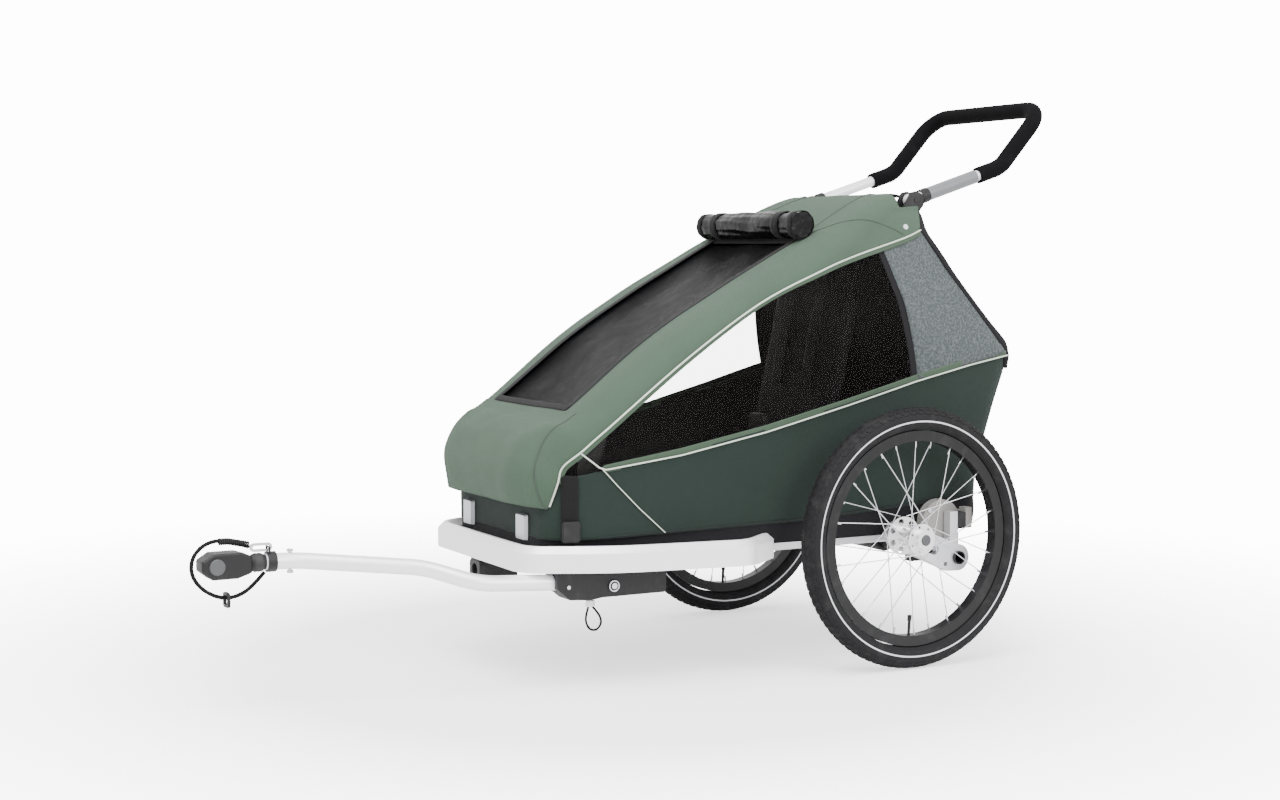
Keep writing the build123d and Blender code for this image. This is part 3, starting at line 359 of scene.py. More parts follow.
CAD_FINISH = {
    SPOKE_STEEL: ["spokes_left", "spokes_right", "axle_left", "axle_right", "coupling_bolt", "lock_pin",
                  "snap_hook"],
    RIM_BLACK: ["rim_left", "rim_right"],
    POLISHED: ["hub_shell_left", "hub_shell_right", "hub_bearings_left", "hub_bearings_right"],
    GREY_PLASTIC: ["hub_button_left", "hub_button_right", "coupling_button"],
    CAST: ["swing_arm_left", "swing_arm_right"],
    BLACK_STEEL: ["pivot_tube", "axle_clamps", "front_hoop", "rear_hoop"],
    HOUSING: ["pad_housings"],
    ELASTOMER: ["suspension_pad_left", "suspension_pad_right", "flex_joint"],
    SILVER: ["bumper_tube", "drawbar_tube", "handle_bar", "chassis_frame", "hinge_brackets"],
    BLACK_PLASTIC: ["front_socket", "handle_clamps", "handle_collars", "drawbar_bracket", "coupling_head",
                    "tether_collar", "d_ring", "harness_buckle", "brake_pedal"],
    FOAM: ["foam_grip"],
    SLEEVE: ["handle_sleeve"],
    BLACK_CLOTH: ["floor_tray"],
    LENS: ["front_reflectors"],
}


def finish_cad_nodes():
    for material, nodes in CAD_FINISH.items():
        for node in nodes:
            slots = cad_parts[node].material_slots
            for index in range(len(slots)):
                slots[index].material = material


finish_cad_nodes()


# ---------------------------------------------------------------- making pieces
def link(name, mesh, materials):
    piece = bpy.data.objects.new(name, mesh)
    bpy.context.scene.collection.objects.link(piece)
    for material in materials:
        mesh.materials.append(material)
    return piece


def apply_modifiers(piece):
    depsgraph = bpy.context.evaluated_depsgraph_get()
    bpy.context.view_layer.update()
    mesh = bpy.data.meshes.new_from_object(piece.evaluated_get(depsgraph))
    old = piece.data
    piece.modifiers.clear()
    piece.data = mesh
    if old.users == 0 and isinstance(old, bpy.types.Mesh):
        bpy.data.meshes.remove(old)
    return piece


CABIN_MIDDLE = at(0, -0.2, 0.5)
SEAM_MIDDLE = at(0, -0.3, 0.42)


def add_wall(piece, thick, offset=-1.0):
    """Give a sheet its thickness; its inner face takes the piece's second material."""
    wall = piece.modifiers.new("wall", "SOLIDIFY")
    wall.thickness = thick
    wall.offset = offset
    wall.material_offset = 1 if len(piece.data.materials) > 1 else 0
    return apply_modifiers(piece)


def smooth_faces(mesh):
    for polygon in mesh.polygons:
        polygon.use_smooth = True


def grid_mesh(name, rows, wrap_rows=False, wrap_columns=False):
    """A smooth mesh through rows of points."""
    height, width = len(rows), len(rows[0])
    mesh = bpy.data.meshes.new(name)
    points = [tuple(point) for row in rows for point in row]
    faces = []
    for i in range(height if wrap_rows else height - 1):
        for j in range(width if wrap_columns else width - 1):
            a, b = i, (i + 1) % height
            c, d = j, (j + 1) % width
            faces.append((a * width + c, a * width + d, b * width + d, b * width + c))
    mesh.from_pydata(points, [], faces)
    mesh.update()
    smooth_faces(mesh)
    return mesh


def tube_piece(name, points, radius, material, closed=False, sides=3):
    """A round line through points, as a mesh."""
    data = bpy.data.curves.new(name, "CURVE")
    data.dimensions = "3D"
    data.bevel_depth = radius
    data.bevel_resolution = sides
    data.use_fill_caps = True
    spline = data.splines.new("POLY")
    spline.points.add(len(points) - 1)
    for target, point in zip(spline.points, points):
        target.co = (*point, 1.0)
    spline.use_cyclic_u = closed
    curve = bpy.data.objects.new(name + "_line", data)
    bpy.context.scene.collection.objects.link(curve)
    bpy.context.view_layer.update()
    mesh = bpy.data.meshes.new_from_object(curve.evaluated_get(bpy.context.evaluated_depsgraph_get()))
    mesh.name = name
    bpy.data.objects.remove(curve)
    mesh.materials.clear()
    smooth_faces(mesh)
    return link(name, mesh, [material])


def join(name, pieces):
    """Several meshes as one piece, keeping their materials."""
    bpy.ops.object.select_all(action="DESELECT")
    for piece in pieces:
        piece.select_set(True)
    bpy.context.view_layer.objects.active = pieces[0]
    bpy.ops.object.join()
    pieces[0].name = name
    return pieces[0]


def ripple(point, size, scale, seed):
    """A small steady unevenness, the same on every run."""
    return size * noise.noise(Vector((point.x * scale + seed, point.y * scale, point.z * scale)))


# ---------------------------------------------------------------- cords
def cord_curve(name, route, diameter, material):
    data = bpy.data.curves.new(name, "CURVE")
    data.dimensions = "3D"
    data.bevel_depth = diameter / 2
    data.bevel_resolution = 5
    data.resolution_u = 16
    data.use_fill_caps = True
    spline = data.splines.new("NURBS")
    spline.points.add(len(route) - 1)
    for target, (x, y, z) in zip(spline.points, route):
        target.co = (*at(x, y, z), 1.0)
    spline.order_u = 3
    spline.use_endpoint_u = True
    piece = bpy.data.objects.new(name, data)
    bpy.context.scene.collection.objects.link(piece)
    data.materials.append(material)
    return piece


LEASH = [(0.1, -1.225, 0.2865), (0.1, -1.26, 0.301), (0.1, -1.297, 0.3), (0.1, -1.323, 0.278),
         (0.1, -1.327, 0.246), (0.1, -1.306, 0.216), (0.1, -1.27, 0.199), (0.1, -1.239, 0.204),
         (0.1, -1.214, 0.222), (0.1, -1.197, 0.241)]
PULL_LOOP = [(0.2, -0.6195, 0.1465), (0.2, -0.627, 0.127), (0.2, -0.62, 0.106), (0.2, -0.604, 0.101),
             (0.2, -0.592, 0.113), (0.2, -0.597, 0.132), (0.2, -0.6115, 0.1465)]
LEASH_THICK = 0.007
LOOP_THICK = 0.004


def make_cords():
    leash = cord_curve("leash_strap", LEASH, LEASH_THICK, WEBBING)
    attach(leash, "root")
    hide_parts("leash")
    loop = cord_curve("pull_loop_strap", PULL_LOOP, LOOP_THICK, WEBBING)
    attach(loop, "lock_pin")
    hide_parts("pull_loop")


make_cords()

# ---------------------------------------------------------------- the cabin's form
# Half widths against Y and Z, rear walls against Z, and the seam lines seen from the side as (y, z).
PLAN = [(-0.775, 0.100), (-0.768, 0.110), (-0.740, 0.168), (-0.690, 0.216), (-0.620, 0.244),
        (-0.500, 0.252), (-0.300, 0.262),
        (0.000, 0.284), (0.150, 0.288), (0.300, 0.288), (0.330, 0.270)]
PLAN_LOW = [(-0.775, 0.165), (-0.700, 0.200), (-0.640, 0.219), (-0.500, 0.246), (-0.300, 0.262),
            (0.000, 0.284), (0.150, 0.288), (0.300, 0.288), (0.330, 0.270)]
SECTION = [(0.200, 0.262), (0.340, 0.262), (0.598, 0.289), (0.800, 0.244), (0.850, 0.222),
           (0.885, 0.206), (0.910, 0.170)]
BACK = [(0.244, 0.218), (0.258, 0.232), (0.330, 0.224), (0.400, 0.236), (0.500, 0.262),
        (0.600, 0.298), (0.680, 0.224), (0.750, 0.170), (0.832, 0.118), (0.900, 0.118)]
BELT = [(-0.790, 0.362), (-0.604, 0.400), (-0.454, 0.424), (-0.279, 0.459), (-0.100, 0.504), (0.052, 0.545),
        (0.180, 0.574), (0.330, 0.607)]
SKIRT = [(-0.800, 0.272), (-0.200, 0.284), (0.300, 0.312)]
FRONT_WALL_Y = -0.711
MESH_HALF = 0.160
CANOPY_RIBS = [
    ((-0.752, 0.338), (-0.700, 0.330), 0.080),
    ((-0.758, 0.400), (-0.688, 0.378), 0.080),
    ((-0.738, 0.450), (-0.680, 0.408), 0.078),
    ((-0.694, 0.482), (-0.650, 0.435), 0.070),
    ((-0.644, 0.504), (-0.598, 0.479), 0.066),
    ((-0.490, 0.622), (-0.437, 0.603), 0.068),
    ((-0.340, 0.713), (-0.290, 0.698), 0.066),
    ((-0.190, 0.794), (-0.150, 0.758), 0.062),
    ((-0.100, 0.840), (-0.066, 0.787), 0.056),
    ((0.040, 0.905), (0.052, 0.820), 0.036),
    ((0.112, 0.903), (0.096, 0.836), 0.030),
]
HOOD_TOP_RIB = 4
ROOF_RIB = 7
RIB_STEPS = 6
INNER_COLUMNS = 10
OUTER_COLUMNS = 16


def soft_value(table, where, reach=0.028):
    """The table's value with its corners rounded off."""
    keys = [key for key, _ in table]
    values = [value for _, value in table]
    return float(np.interp(np.linspace(where - reach, where + reach, 9), keys, values).mean())


def half_width(y, z, plan=PLAN):
    by_plan, by_section = soft_value(plan, y), soft_value(SECTION, z)
    blend = 0.02
    overlap = max(0.0, blend - abs(by_plan - by_section))
    return min(by_plan, by_section) - overlap * overlap / (4 * blend)


def even_points(line, count):
    """Points evenly spaced along a line of 2-D or 3-D points."""
    line = np.array([tuple(point) for point in line])
    steps = np.concatenate([[0], np.cumsum(np.linalg.norm(np.diff(line, axis=0), axis=1))])
    wanted = np.linspace(0, steps[-1], count)
    return np.stack([np.interp(wanted, steps, line[:, i]) for i in range(line.shape[1])], axis=1)


def canopy_half_rib(top, hem, corner_r):
    """One side of a rib, from the middle over the rounded corner and down to the hem."""
    top, hem = Vector(top), Vector(hem)
    length = (hem - top).length
    down = (hem - top) / length
    reach = min(corner_r, length)
    shoulder = top + down * reach
    flat_end = half_width(*shoulder) - corner_r
    edge = min(MESH_HALF, flat_end - 0.004)
    middle = [(edge * i / INNER_COLUMNS, 0.0) for i in range(INNER_COLUMNS)]
    last_turn = math.acos(1 - reach / corner_r)
    outer = [(edge, 0.0), (flat_end, 0.0)]
    for i in range(1, 13):
        turn = last_turn * i / 12
        outer.append((flat_end + corner_r * math.sin(turn), corner_r * (1 - math.cos(turn))))
    for i in range(1, 9):
        depth = reach + (length - reach) * i / 8
        place = top + down * depth
        if length > corner_r:
            outer.append((half_width(*place), depth))
    points = middle + [tuple(point) for point in even_points(outer, OUTER_COLUMNS + 1)]
    return [at(x, *(top + down * depth)) for x, depth in points]


def canopy_rows():
    """Ribs across the canopy from the hood's lower edge to the back of the roof."""
    count = (len(CANOPY_RIBS) - 1) * RIB_STEPS + 1
    rows = []
    for step in range(count):
        place = step / RIB_STEPS
        index = min(int(place), len(CANOPY_RIBS) - 2)
        t = place - index
        corners = [CANOPY_RIBS[max(0, index - 1)], CANOPY_RIBS[index], CANOPY_RIBS[index + 1],
                   CANOPY_RIBS[min(len(CANOPY_RIBS) - 1, index + 2)]]
        ends = []
        for end in (0, 1):
            a, b, c, d = (Vector(corner[end]) for corner in corners)
            ends.append(0.5 * (2 * b + (c - a) * t + (2 * a - 5 * b + 4 * c - d) * t * t
                               + (3 * b - a - 3 * c + d) * t ** 3))
        corner_r = corners[1][2] + (corners[2][2] - corners[1][2]) * t
        half = canopy_half_rib(*ends, corner_r)
        rows.append([Vector((-p.x, p.y, p.z)) for p in reversed(half[1:])] + half)
    return rows


def outward_shift(rows, amount):
    """Every point moved along the surface's outward normal by amount(point)."""
    height, width = len(rows), len(rows[0])
    moved = []
    for i in range(height):
        line = []
        for j in range(width):
            along = rows[min(i + 1, height - 1)][j] - rows[max(i - 1, 0)][j]
            sideways = rows[i][min(j + 1, width - 1)] - rows[i][max(j - 1, 0)]
            normal = along.cross(sideways)
            if normal.length < 1e-12:
                line.append(rows[i][j].copy())
                continue
            normal.normalize()
            if normal.dot(rows[i][j] - CABIN_MIDDLE) < 0:
                normal = -normal
            line.append(rows[i][j] + normal * amount(rows[i][j]))
        moved.append(line)
    return moved


def cloth_unevenness(point):
    """Soft slack everywhere, and more over the hood."""
    hood = max(0.0, min(1.0, (point.y - AXLE_Y + 0.60) / -0.10))
    return ripple(point, 0.0016, 9.0, 3.0) + hood * ripple(point, 0.0034, 17.0, 8.0)


CANOPY = outward_shift(canopy_rows(), cloth_unevenness)
MIDDLE_COLUMN = INNER_COLUMNS + OUTER_COLUMNS
FIRST_INNER = MIDDLE_COLUMN - INNER_COLUMNS
LAST_INNER = MIDDLE_COLUMN + INNER_COLUMNS
HOOD_ROW = HOOD_TOP_RIB * RIB_STEPS
ROOF_ROW = ROOF_RIB * RIB_STEPS + 3


def fold_with_frame(piece):
    """Ride on the chassis, with a mesh of its own."""
    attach(piece, "root")
    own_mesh(piece)


def cloth_panel(name, rows, material, nodes=(), slot=None, inner=None, skip=None, held="stretched",
                folds=True, thick=SKIN, closed=False):
    """One sewn panel: skip(row, column) leaves cells out; returns the piece."""
    height, width = len(rows), len(rows[0])
    mesh = bpy.data.meshes.new(name)
    faces = []
    for i in range(height - 1):
        for j in range(width if closed else width - 1):
            if skip and skip(i, j):
                continue
            k = (j + 1) % width
            faces.append((i * width + j, i * width + k, (i + 1) * width + k, (i + 1) * width + j))
    mesh.from_pydata([tuple(point) for row in rows for point in row], [], faces)
    work = bmesh.new()
    work.from_mesh(mesh)
    loose = [vertex for vertex in work.verts if not vertex.link_faces]
    bmesh.ops.delete(work, geom=loose, context="VERTS")
    bmesh.ops.remove_doubles(work, verts=work.verts, dist=1e-6)
    work.normal_update()
    facing = sum((face.calc_center_median() - CABIN_MIDDLE).dot(face.normal) * face.calc_area()
                 for face in work.faces)
    if facing < 0:
        bmesh.ops.reverse_faces(work, faces=work.faces)
    area = sum(face.calc_area() for face in work.faces)
    work.to_mesh(mesh)
    work.free()
    smooth_faces(mesh)
    piece = link(name, mesh, [material, inner or LINING])
    piece.modifiers.new("smooth", "SUBSURF").levels = 1
    add_wall(piece, thick)
    if folds:
        fold_with_frame(piece)
    else:
        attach(piece, "root")
    if nodes:
        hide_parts(*nodes)
    return piece


def webbing(name, rows, nodes=(), **options):
    return cloth_panel(name, rows, WEBBING, nodes, "webbing_black", inner=WEBBING, **options)


def hem_tape(name, rows):
    return cloth_panel(name, rows, SAGE_HEM, slot="fabric_sage", inner=SAGE_HEM)


def slot_for_handle(row, column):
    corner = CANOPY[row][column]
    return abs(abs(corner.x) - 0.182) < 0.024 and corner.y - AXLE_Y > 0.050


def outside_opening(row, column):
    in_mesh = HOOD_ROW <= row < ROOF_ROW and FIRST_INNER <= column < LAST_INNER
    return in_mesh or slot_for_handle(row, column)


def line_piece(name, lines, radius, material):
    """Piping or thread along several lines, as one piece."""
    made = [tube_piece(f"{name}_{number}", line, radius, material) for number, line in enumerate(lines)]
    piece = join(name, made) if len(made) > 1 else made[0]
    piece.name = name
    fold_with_frame(piece)
    return piece


def raised(point, amount):
    """A point moved out sideways from the cabin's middle."""
    return Vector((point.x + math.copysign(amount, point.x), point.y, point.z))


def canopy_point(row, column):
    """A point of the canopy between its grid points."""
    i, j = min(int(row), len(CANOPY) - 2), min(int(column), 2 * MIDDLE_COLUMN - 1)
    high = CANOPY[i][j].lerp(CANOPY[i][j + 1], column - j)
    return high.lerp(CANOPY[i + 1][j].lerp(CANOPY[i + 1][j + 1], column - j), row - i)


def roof_line(hand, row, column, last_row, last_column):
    """A seam over the cloth from one grid place to another, columns counted from the middle."""
    steps = [step / 24 for step in range(25)]
    points = [canopy_point(row + (last_row - row) * t,
                           MIDDLE_COLUMN + hand * (column + (last_column - column) * t)) for t in steps]
    return outward_line(points, 0.0007)


def make_canopy():
    cloth_panel("canopy_cloth", CANOPY, SAGE, ["canopy"], "fabric_sage", skip=outside_opening)
    hems = []
    for column in (0, -1):
        hems.append([raised(row[column], 0.0012) for row in CANOPY[1:]])
    line_piece("hem_piping", hems, 0.0019, PIPING)
    for hand, column in (("left", -1), ("right", 0)):
        inside = column - 1 if column == -1 else 1
        strip = []
        for row in CANOPY[RIB_STEPS:]:
            down = (row[column] - row[inside]).normalized()
            strip.append([raised(row[column] + down * d, -0.0008) for d in (0.0, 0.005, 0.010)])
        hem_tape(f"hem_binding_{hand}", strip)
    seams = []
    for hand in (-1, 1):
        seam = []
        for row in CANOPY[:HOOD_ROW + 1]:
            half = row[MIDDLE_COLUMN:] if hand > 0 else list(reversed(row[:MIDDLE_COLUMN + 1]))
            xs = [abs(point.x) for point in half]
            wide = min(0.197, xs[-1])
            seam.append(Vector([np.interp(wide, xs, [point[i] for point in half]) for i in range(3)]))
            seam[-1].x = hand * wide
        seams.append(outward_line(seam, 0.0007))
    line_piece("hood_seam", seams, 0.0009, STITCH)
    roof_seams = []
    for hand in (-1, 1):
        roof_seams.append(roof_line(hand, ROOF_ROW, INNER_COLUMNS, len(CANOPY) - 1, INNER_COLUMNS // 2))
        roof_seams.append(roof_line(hand, ROOF_ROW + 2, INNER_COLUMNS + 1, ROOF_ROW + 9, MIDDLE_COLUMN - 1))
    line_piece("roof_seam", roof_seams, 0.0008, STITCH)


def outward_line(points, amount):
    return [point + (point - SEAM_MIDDLE).normalized() * amount for point in points]


make_canopy()


# ---------------------------------------------------------------- front net
def make_front_net():
    rows = []
    for row in CANOPY[HOOD_ROW:ROOF_ROW + 1]:
        line = [point + Vector((0, 0.002, -0.004)) for point in row[FIRST_INNER:LAST_INNER + 1]]
        rows.append(line)

    def slack(point):
        across = 1 - (abs(point.x) / MESH_HALF) ** 2
        wave = math.sin(34 * (point.y - AXLE_Y) + 14 * point.x + 3 * noise.noise(point * 5.0))
        return 0.0045 * across * wave - 0.006 * across + ripple(point, 0.003, 14.0, 2.0) * across

    cloth_panel("front_net", outward_shift(rows, slack), NET, ["front_mesh"], "mesh_black", inner=NET,
                thick=FILM)
    edge_lines = [[row[FIRST_INNER] for row in CANOPY[HOOD_ROW:ROOF_ROW + 1]],
                  [row[LAST_INNER] for row in CANOPY[HOOD_ROW:ROOF_ROW + 1]]]
    for number, (line, inward) in enumerate(zip(edge_lines, (1, -1))):
        strip = [[point + Vector((inward * d, 0.0005, 0.0011)) for d in (-0.002, 0.006, 0.014)]
                 for point in line]
        webbing(f"net_binding_{number}", strip)
    for number, (row, lean) in enumerate(((CANOPY[HOOD_ROW], 1), (CANOPY[ROOF_ROW], -1))):
        inner = row[FIRST_INNER:LAST_INNER + 1]
        strip = [[point + Vector((0, lean * 0.78 * d, lean * 0.62 * d + 0.0012)) for point in inner]
                 for d in (-0.002, 0.006, 0.013)]
        webbing(f"net_end_binding_{number}", strip)


make_front_net()


# ---------------------------------------------------------------- side windows, side panels and rear panel
def belt_z(y):
    return float(np.interp(y, [key for key, _ in BELT], [value for _, value in BELT]))


def skirt_z(y):
    return float(np.interp(y, [key for key, _ in SKIRT], [value for _, value in SKIRT]))


def back_y(z):
    return soft_value(BACK, z, 0.02)


def wall_point(hand, y, z, inset):
    return at(hand * (half_width(y, z) - inset), y, z)


def side_rows(hand, low_line, high_line, columns, rows, inset):
    """A side panel between two lines of (y, z) points."""
    low = even_points(low_line, columns)
    high = even_points(high_line, columns)
    out = []
    for i in range(rows):
        t = i / (rows - 1)
        out.append([wall_point(hand, *(a + (b - a) * t), inset) for a, b in zip(low, high)])
    return out


HEM_SIDE = [(-0.700, 0.385), (-0.650, 0.435), (-0.598, 0.479), (-0.540, 0.525), (-0.437, 0.603),
            (-0.368, 0.654), (-0.290, 0.698), (-0.150, 0.758), (-0.066, 0.787), (-0.004, 0.806)]
WINDOW_LOW = [(-0.700, 0.381), *BELT[1:6]]
POST = [(0.060, 0.545), (0.034, 0.700), (-0.004, 0.812)]
PANEL_FRONT = [(0.058, 0.545), (0.032, 0.700), (-0.006, 0.812)]
PANEL_BACK = [(0.270, 0.594), (0.208, 0.676), (0.146, 0.756), (0.094, 0.842)]


def make_sides():
    for hand, word in ((1, "left"), (-1, "right")):
        window = side_rows(hand, WINDOW_LOW, HEM_SIDE, 40, 14, 0.0034)
        for row, (y, z) in zip(window, even_points(POST, 14)):
            row[-1] = wall_point(hand, y, z, 0.0034)
        film_rows = [[point + Vector((ripple(point, 0.0016, 6.0, 1.0), 0, 0)) for point in row]
                     for row in window]
        cloth_panel(f"window_{word}", film_rows, WINDOW, [f"side_window_{word}"], "window_film", inner=WINDOW,
                    thick=FILM)
        panel = side_rows(hand, PANEL_FRONT, PANEL_BACK, 20, 12, 0.0016)
        cloth_panel(f"rear_side_{word}", outward_shift(panel, lambda point: ripple(point, 0.0016, 11.0, 5.0)),
                    MELANGE, [f"side_panel_{word}"], "fabric_melange")
        pillar = [[wall_point(hand, y + d, z, 0.0026) for d in (-0.016, -0.008, 0.002)]
                  for y, z in even_points(POST, 22)]
        cloth_panel(f"window_post_{word}", pillar, BLACK_CLOTH, slot="fabric_black", inner=BLACK_CLOTH)
        sill = [[wall_point(hand, y, z + d, 0.0014) for d in (-0.003, 0.004, 0.011)]
                for y, z in even_points([(-0.612, 0.3985), *BELT[2:7], (0.270, 0.5895)], 60)]
        hem_tape(f"belt_tape_{word}", sill)
    belt = [[wall_point(hand, y, z - 0.002, -0.0008) for y, z in even_points(
        [(-0.650, 0.434), (-0.612, 0.4030), *BELT[2:7], (0.272, 0.5910)], 70)] for hand in (-1, 1)]
    line_piece("belt_piping", belt, 0.0016, PIPING)
    diagonal = [[wall_point(hand, y, z, -0.001) for y, z in even_points(
        [(-0.612, 0.4025), (-0.584, 0.372), (-0.540, 0.328), (-0.488, 0.281)], 24)] for hand in (-1, 1)]
    line_piece("corner_piping", diagonal, 0.0011, PIPING)


def rear_line(z):
    """Across the back at one height, from one side seam round to the other."""
    seam_y = float(np.interp(z, [0.594, 0.676, 0.756, 0.842], [0.268, 0.206, 0.144, 0.092]))
    tuck = 0.004 if z < 0.602 else 0.0
    wall_y = back_y(z) - tuck
    wide = half_width(min(wall_y, 0.29) - 0.02, z) - tuck
    dense = [(-wide, seam_y), (-wide, wall_y), (wide, wall_y), (wide, seam_y)]
    fine = even_points(dense, 241)
    reach = 9
    smooth = [fine[max(0, i - reach):i + reach + 1].mean(axis=0) if reach <= i <= 240 - reach else fine[i]
              for i in range(241)]
    return [at(x, y, z) for x, y in even_points(smooth, 49)]


def make_rear():
    rows = [rear_line(z) for z in np.linspace(0.562, 0.892, 27)]

    def slots(row, column):
        point = rows[row][column]
        return abs(abs(point.x) - 0.185) < 0.021 and point.z > 0.835

    cloth_panel("rear_wall", outward_shift(rows, lambda point: ripple(point, 0.003, 7.0, 4.0)), BLACK_CLOTH,
                ["rear_panel"], "fabric_black", skip=slots)


make_sides()
make_rear()


# ---------------------------------------------------------------- lower body and base
def plan_loop(z, plan, count=160):
    """The wall all the way round at one height, starting behind, with rounded corners."""
    rear, ahead = back_y(z), FRONT_WALL_Y
    left = [(half_width(y, z, plan), y) for y in np.linspace(rear, ahead, 60)]
    ring = [(0.0, rear), *left, (0.0, ahead), *[(-x, y) for x, y in reversed(left)], (0.0, rear)]
    fine = even_points(ring, 721)[:-1]
    reach = 8
    smooth = sum(np.roll(fine, shift, axis=0) for shift in range(-reach, reach + 1)) / (2 * reach + 1)
    closed = np.vstack([smooth, smooth[:1]])
    return even_points(closed, count + 1)[:-1]


def wall_rows(low, high, plan, rows, inset):
    """Rings between two heights that vary along Y."""
    heights = np.linspace(0.243, 0.620, 12)
    loops = [plan_loop(z, plan) for z in heights]
    bottom, top = plan_loop(0.29, plan), plan_loop(0.57, plan)
    out = []
    for i in range(rows):
        t = i / (rows - 1)
        ring = []
        for column in range(len(bottom)):
            low_z, high_z = low(bottom[column][1]), high(top[column][1])
            z = low_z + (high_z - low_z) * t
            x = np.interp(z, heights, [loop[column][0] for loop in loops])
            wall_y = np.interp(z, heights, [loop[column][1] for loop in loops])
            ring.append(at(x - math.copysign(inset, x), wall_y, z))
        out.append(ring)
    return out


BASE_Z = 0.2455
FLOOR_Z = 0.2458


def make_lower_body():
    rows = wall_rows(skirt_z, lambda y: belt_z(y) - 0.001, PLAN, 12, 0.0014)
    taut = outward_shift(rows, lambda point: ripple(point, 0.0022, 6.5, 6.0))
    cloth_panel("lower_cloth", taut, GREEN, ["lower_body"], "fabric_green", closed=True)
    base = wall_rows(lambda y: BASE_Z, lambda y: skirt_z(y) + 0.002, PLAN_LOW, 6, 0.003)
    options = {"slot": "fabric_black", "inner": BLACK_CLOTH, "closed": True, "folds": False}
    cloth_panel("base_wrap", base, BLACK_CLOTH, ["floor_tray"], **options)
    centre = at(0, -0.24, 0.2452)
    floor_rows = [[centre + (point - centre) * share for point in base[0]]
                  for share in (1.0, 0.8, 0.6, 0.4, 0.2, 0.02)]
    for row in floor_rows:
        for point in row:
            point.z = FLOOR_Z
    cloth_panel("base_floor", floor_rows, BLACK_CLOTH, **options)
    stitch_lines = [[wall_point(hand, y, skirt_z(y) + 0.004, -0.0006) for y in np.linspace(-0.62, 0.20, 60)]
                    for hand in (-1, 1)]
    line_piece("skirt_stitching", stitch_lines, 0.0006, DARK_STITCH)


make_lower_body()


# ---------------------------------------------------------------- seat, backrest and harness
BACK_THICK = 0.038


def cushion(name, size, turn, centre, squareness=0.28, wrinkle=0.003, seed=1.0):
    """A stuffed pad: a rounded block with soft unevenness."""
    rows, around = 34, 64
    half = Vector(size) / 2

    def power(value):
        return math.copysign(abs(value) ** squareness, value)

    grid = []
    for i in range(rows + 1):
        lift = -math.pi / 2 + math.pi * i / rows
        line = []
        for j in range(around):
            angle = 2 * math.pi * j / around
            ring = power(math.cos(lift))
            local = Vector((half.x * ring * power(math.cos(angle)), half.y * ring * power(math.sin(angle)),
                            half.z * math.copysign(abs(math.sin(lift)) ** 0.6, math.sin(lift))))
            local.z += ripple(local, wrinkle, 22.0, seed)
            line.append(centre + turn @ local)
        grid.append(line)
    piece = link(name, grid_mesh(name, grid, wrap_columns=True), [BLACK_CLOTH])
    return piece


def make_seat():
    seat_low, seat_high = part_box("seat_pad")
    seat = cushion("seat_cushion", seat_high - seat_low, Matrix.Identity(3), (seat_low + seat_high) / 2)
    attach(seat, "root")
    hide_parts("seat_pad")
    foot, top = at(0, -0.078, 0.392), at(0, 0.008, 0.800)
    rise = (top - foot).normalized()
    back_normal = Vector((0, -rise.z, rise.y))
    lean = Vector((0, 1, 0)).rotation_difference(rise).to_matrix()
    size = (0.27, (top - foot).length, BACK_THICK)
    centre = (foot + top) / 2 - back_normal * BACK_THICK / 2
    back = cushion("back_cushion", size, lean, centre, 0.3, 0.002, 4.0)
    fold_with_frame(back)
    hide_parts("backrest")
    make_harness(foot, rise, back_normal)


def make_harness(foot, rise, forward):
    middle = foot + rise * (0.2085 + 0.040)
    for number, x in enumerate((-0.055, 0.055)):
        rows = []
        for step in range(24):
            along = 0.115 - 0.230 * step / 23
            bow = 0.004 + 0.005 * math.sin(math.pi * step / 23)
            centre = middle + rise * along + forward * bow + Vector((x, 0, 0))
            rows.append([centre + Vector((across, 0, 0)) for across in (-0.019, -0.0095, 0.0, 0.0095, 0.019)])
        webbing(f"shoulder_strap_{number}", rows, ["harness_straps"] if number == 0 else (), held="hung",
                thick=STRAP)
    crotch = [[at(across, -0.137 - 0.002 * math.sin(step), 0.3745 + 0.0365 * step / 5)
               for across in (-0.014, 0.0, 0.014)] for step in range(6)]
    webbing("crotch_strap", crotch, held="hung", thick=STRAP)


make_seat()


# ---------------------------------------------------------------- rain cover roll
ROLL_CENTRE = (-0.148, 0.846)
ROLL_R = 0.0255
ROLL_HALF = 0.181
STRAP_X = (-0.118, 0.118)


def roll_ring(x, radius, around, rough):
    ring = []
    for j in range(around):
        angle = 2 * math.pi * j / around
        folds = 0.9 * math.sin(5 * angle + 9 * x) + 0.6 * math.sin(11 * angle - 21 * x)
        lump = noise.noise(Vector((14 * x, 1.6 * math.cos(angle), 1.6 * math.sin(angle))))
        r = radius * (1 + rough * (0.035 * folds + 0.11 * lump))
        ring.append(at(x, ROLL_CENTRE[0] + r * math.cos(angle), ROLL_CENTRE[1] + r * math.sin(angle)))
    return ring


def wrap_roll(name, rings, thick):
    """A webbing band round the roll."""
    piece = link(name, grid_mesh(name, rings, wrap_columns=True), [WEBBING])
    add_wall(piece, thick)
    fold_with_frame(piece)


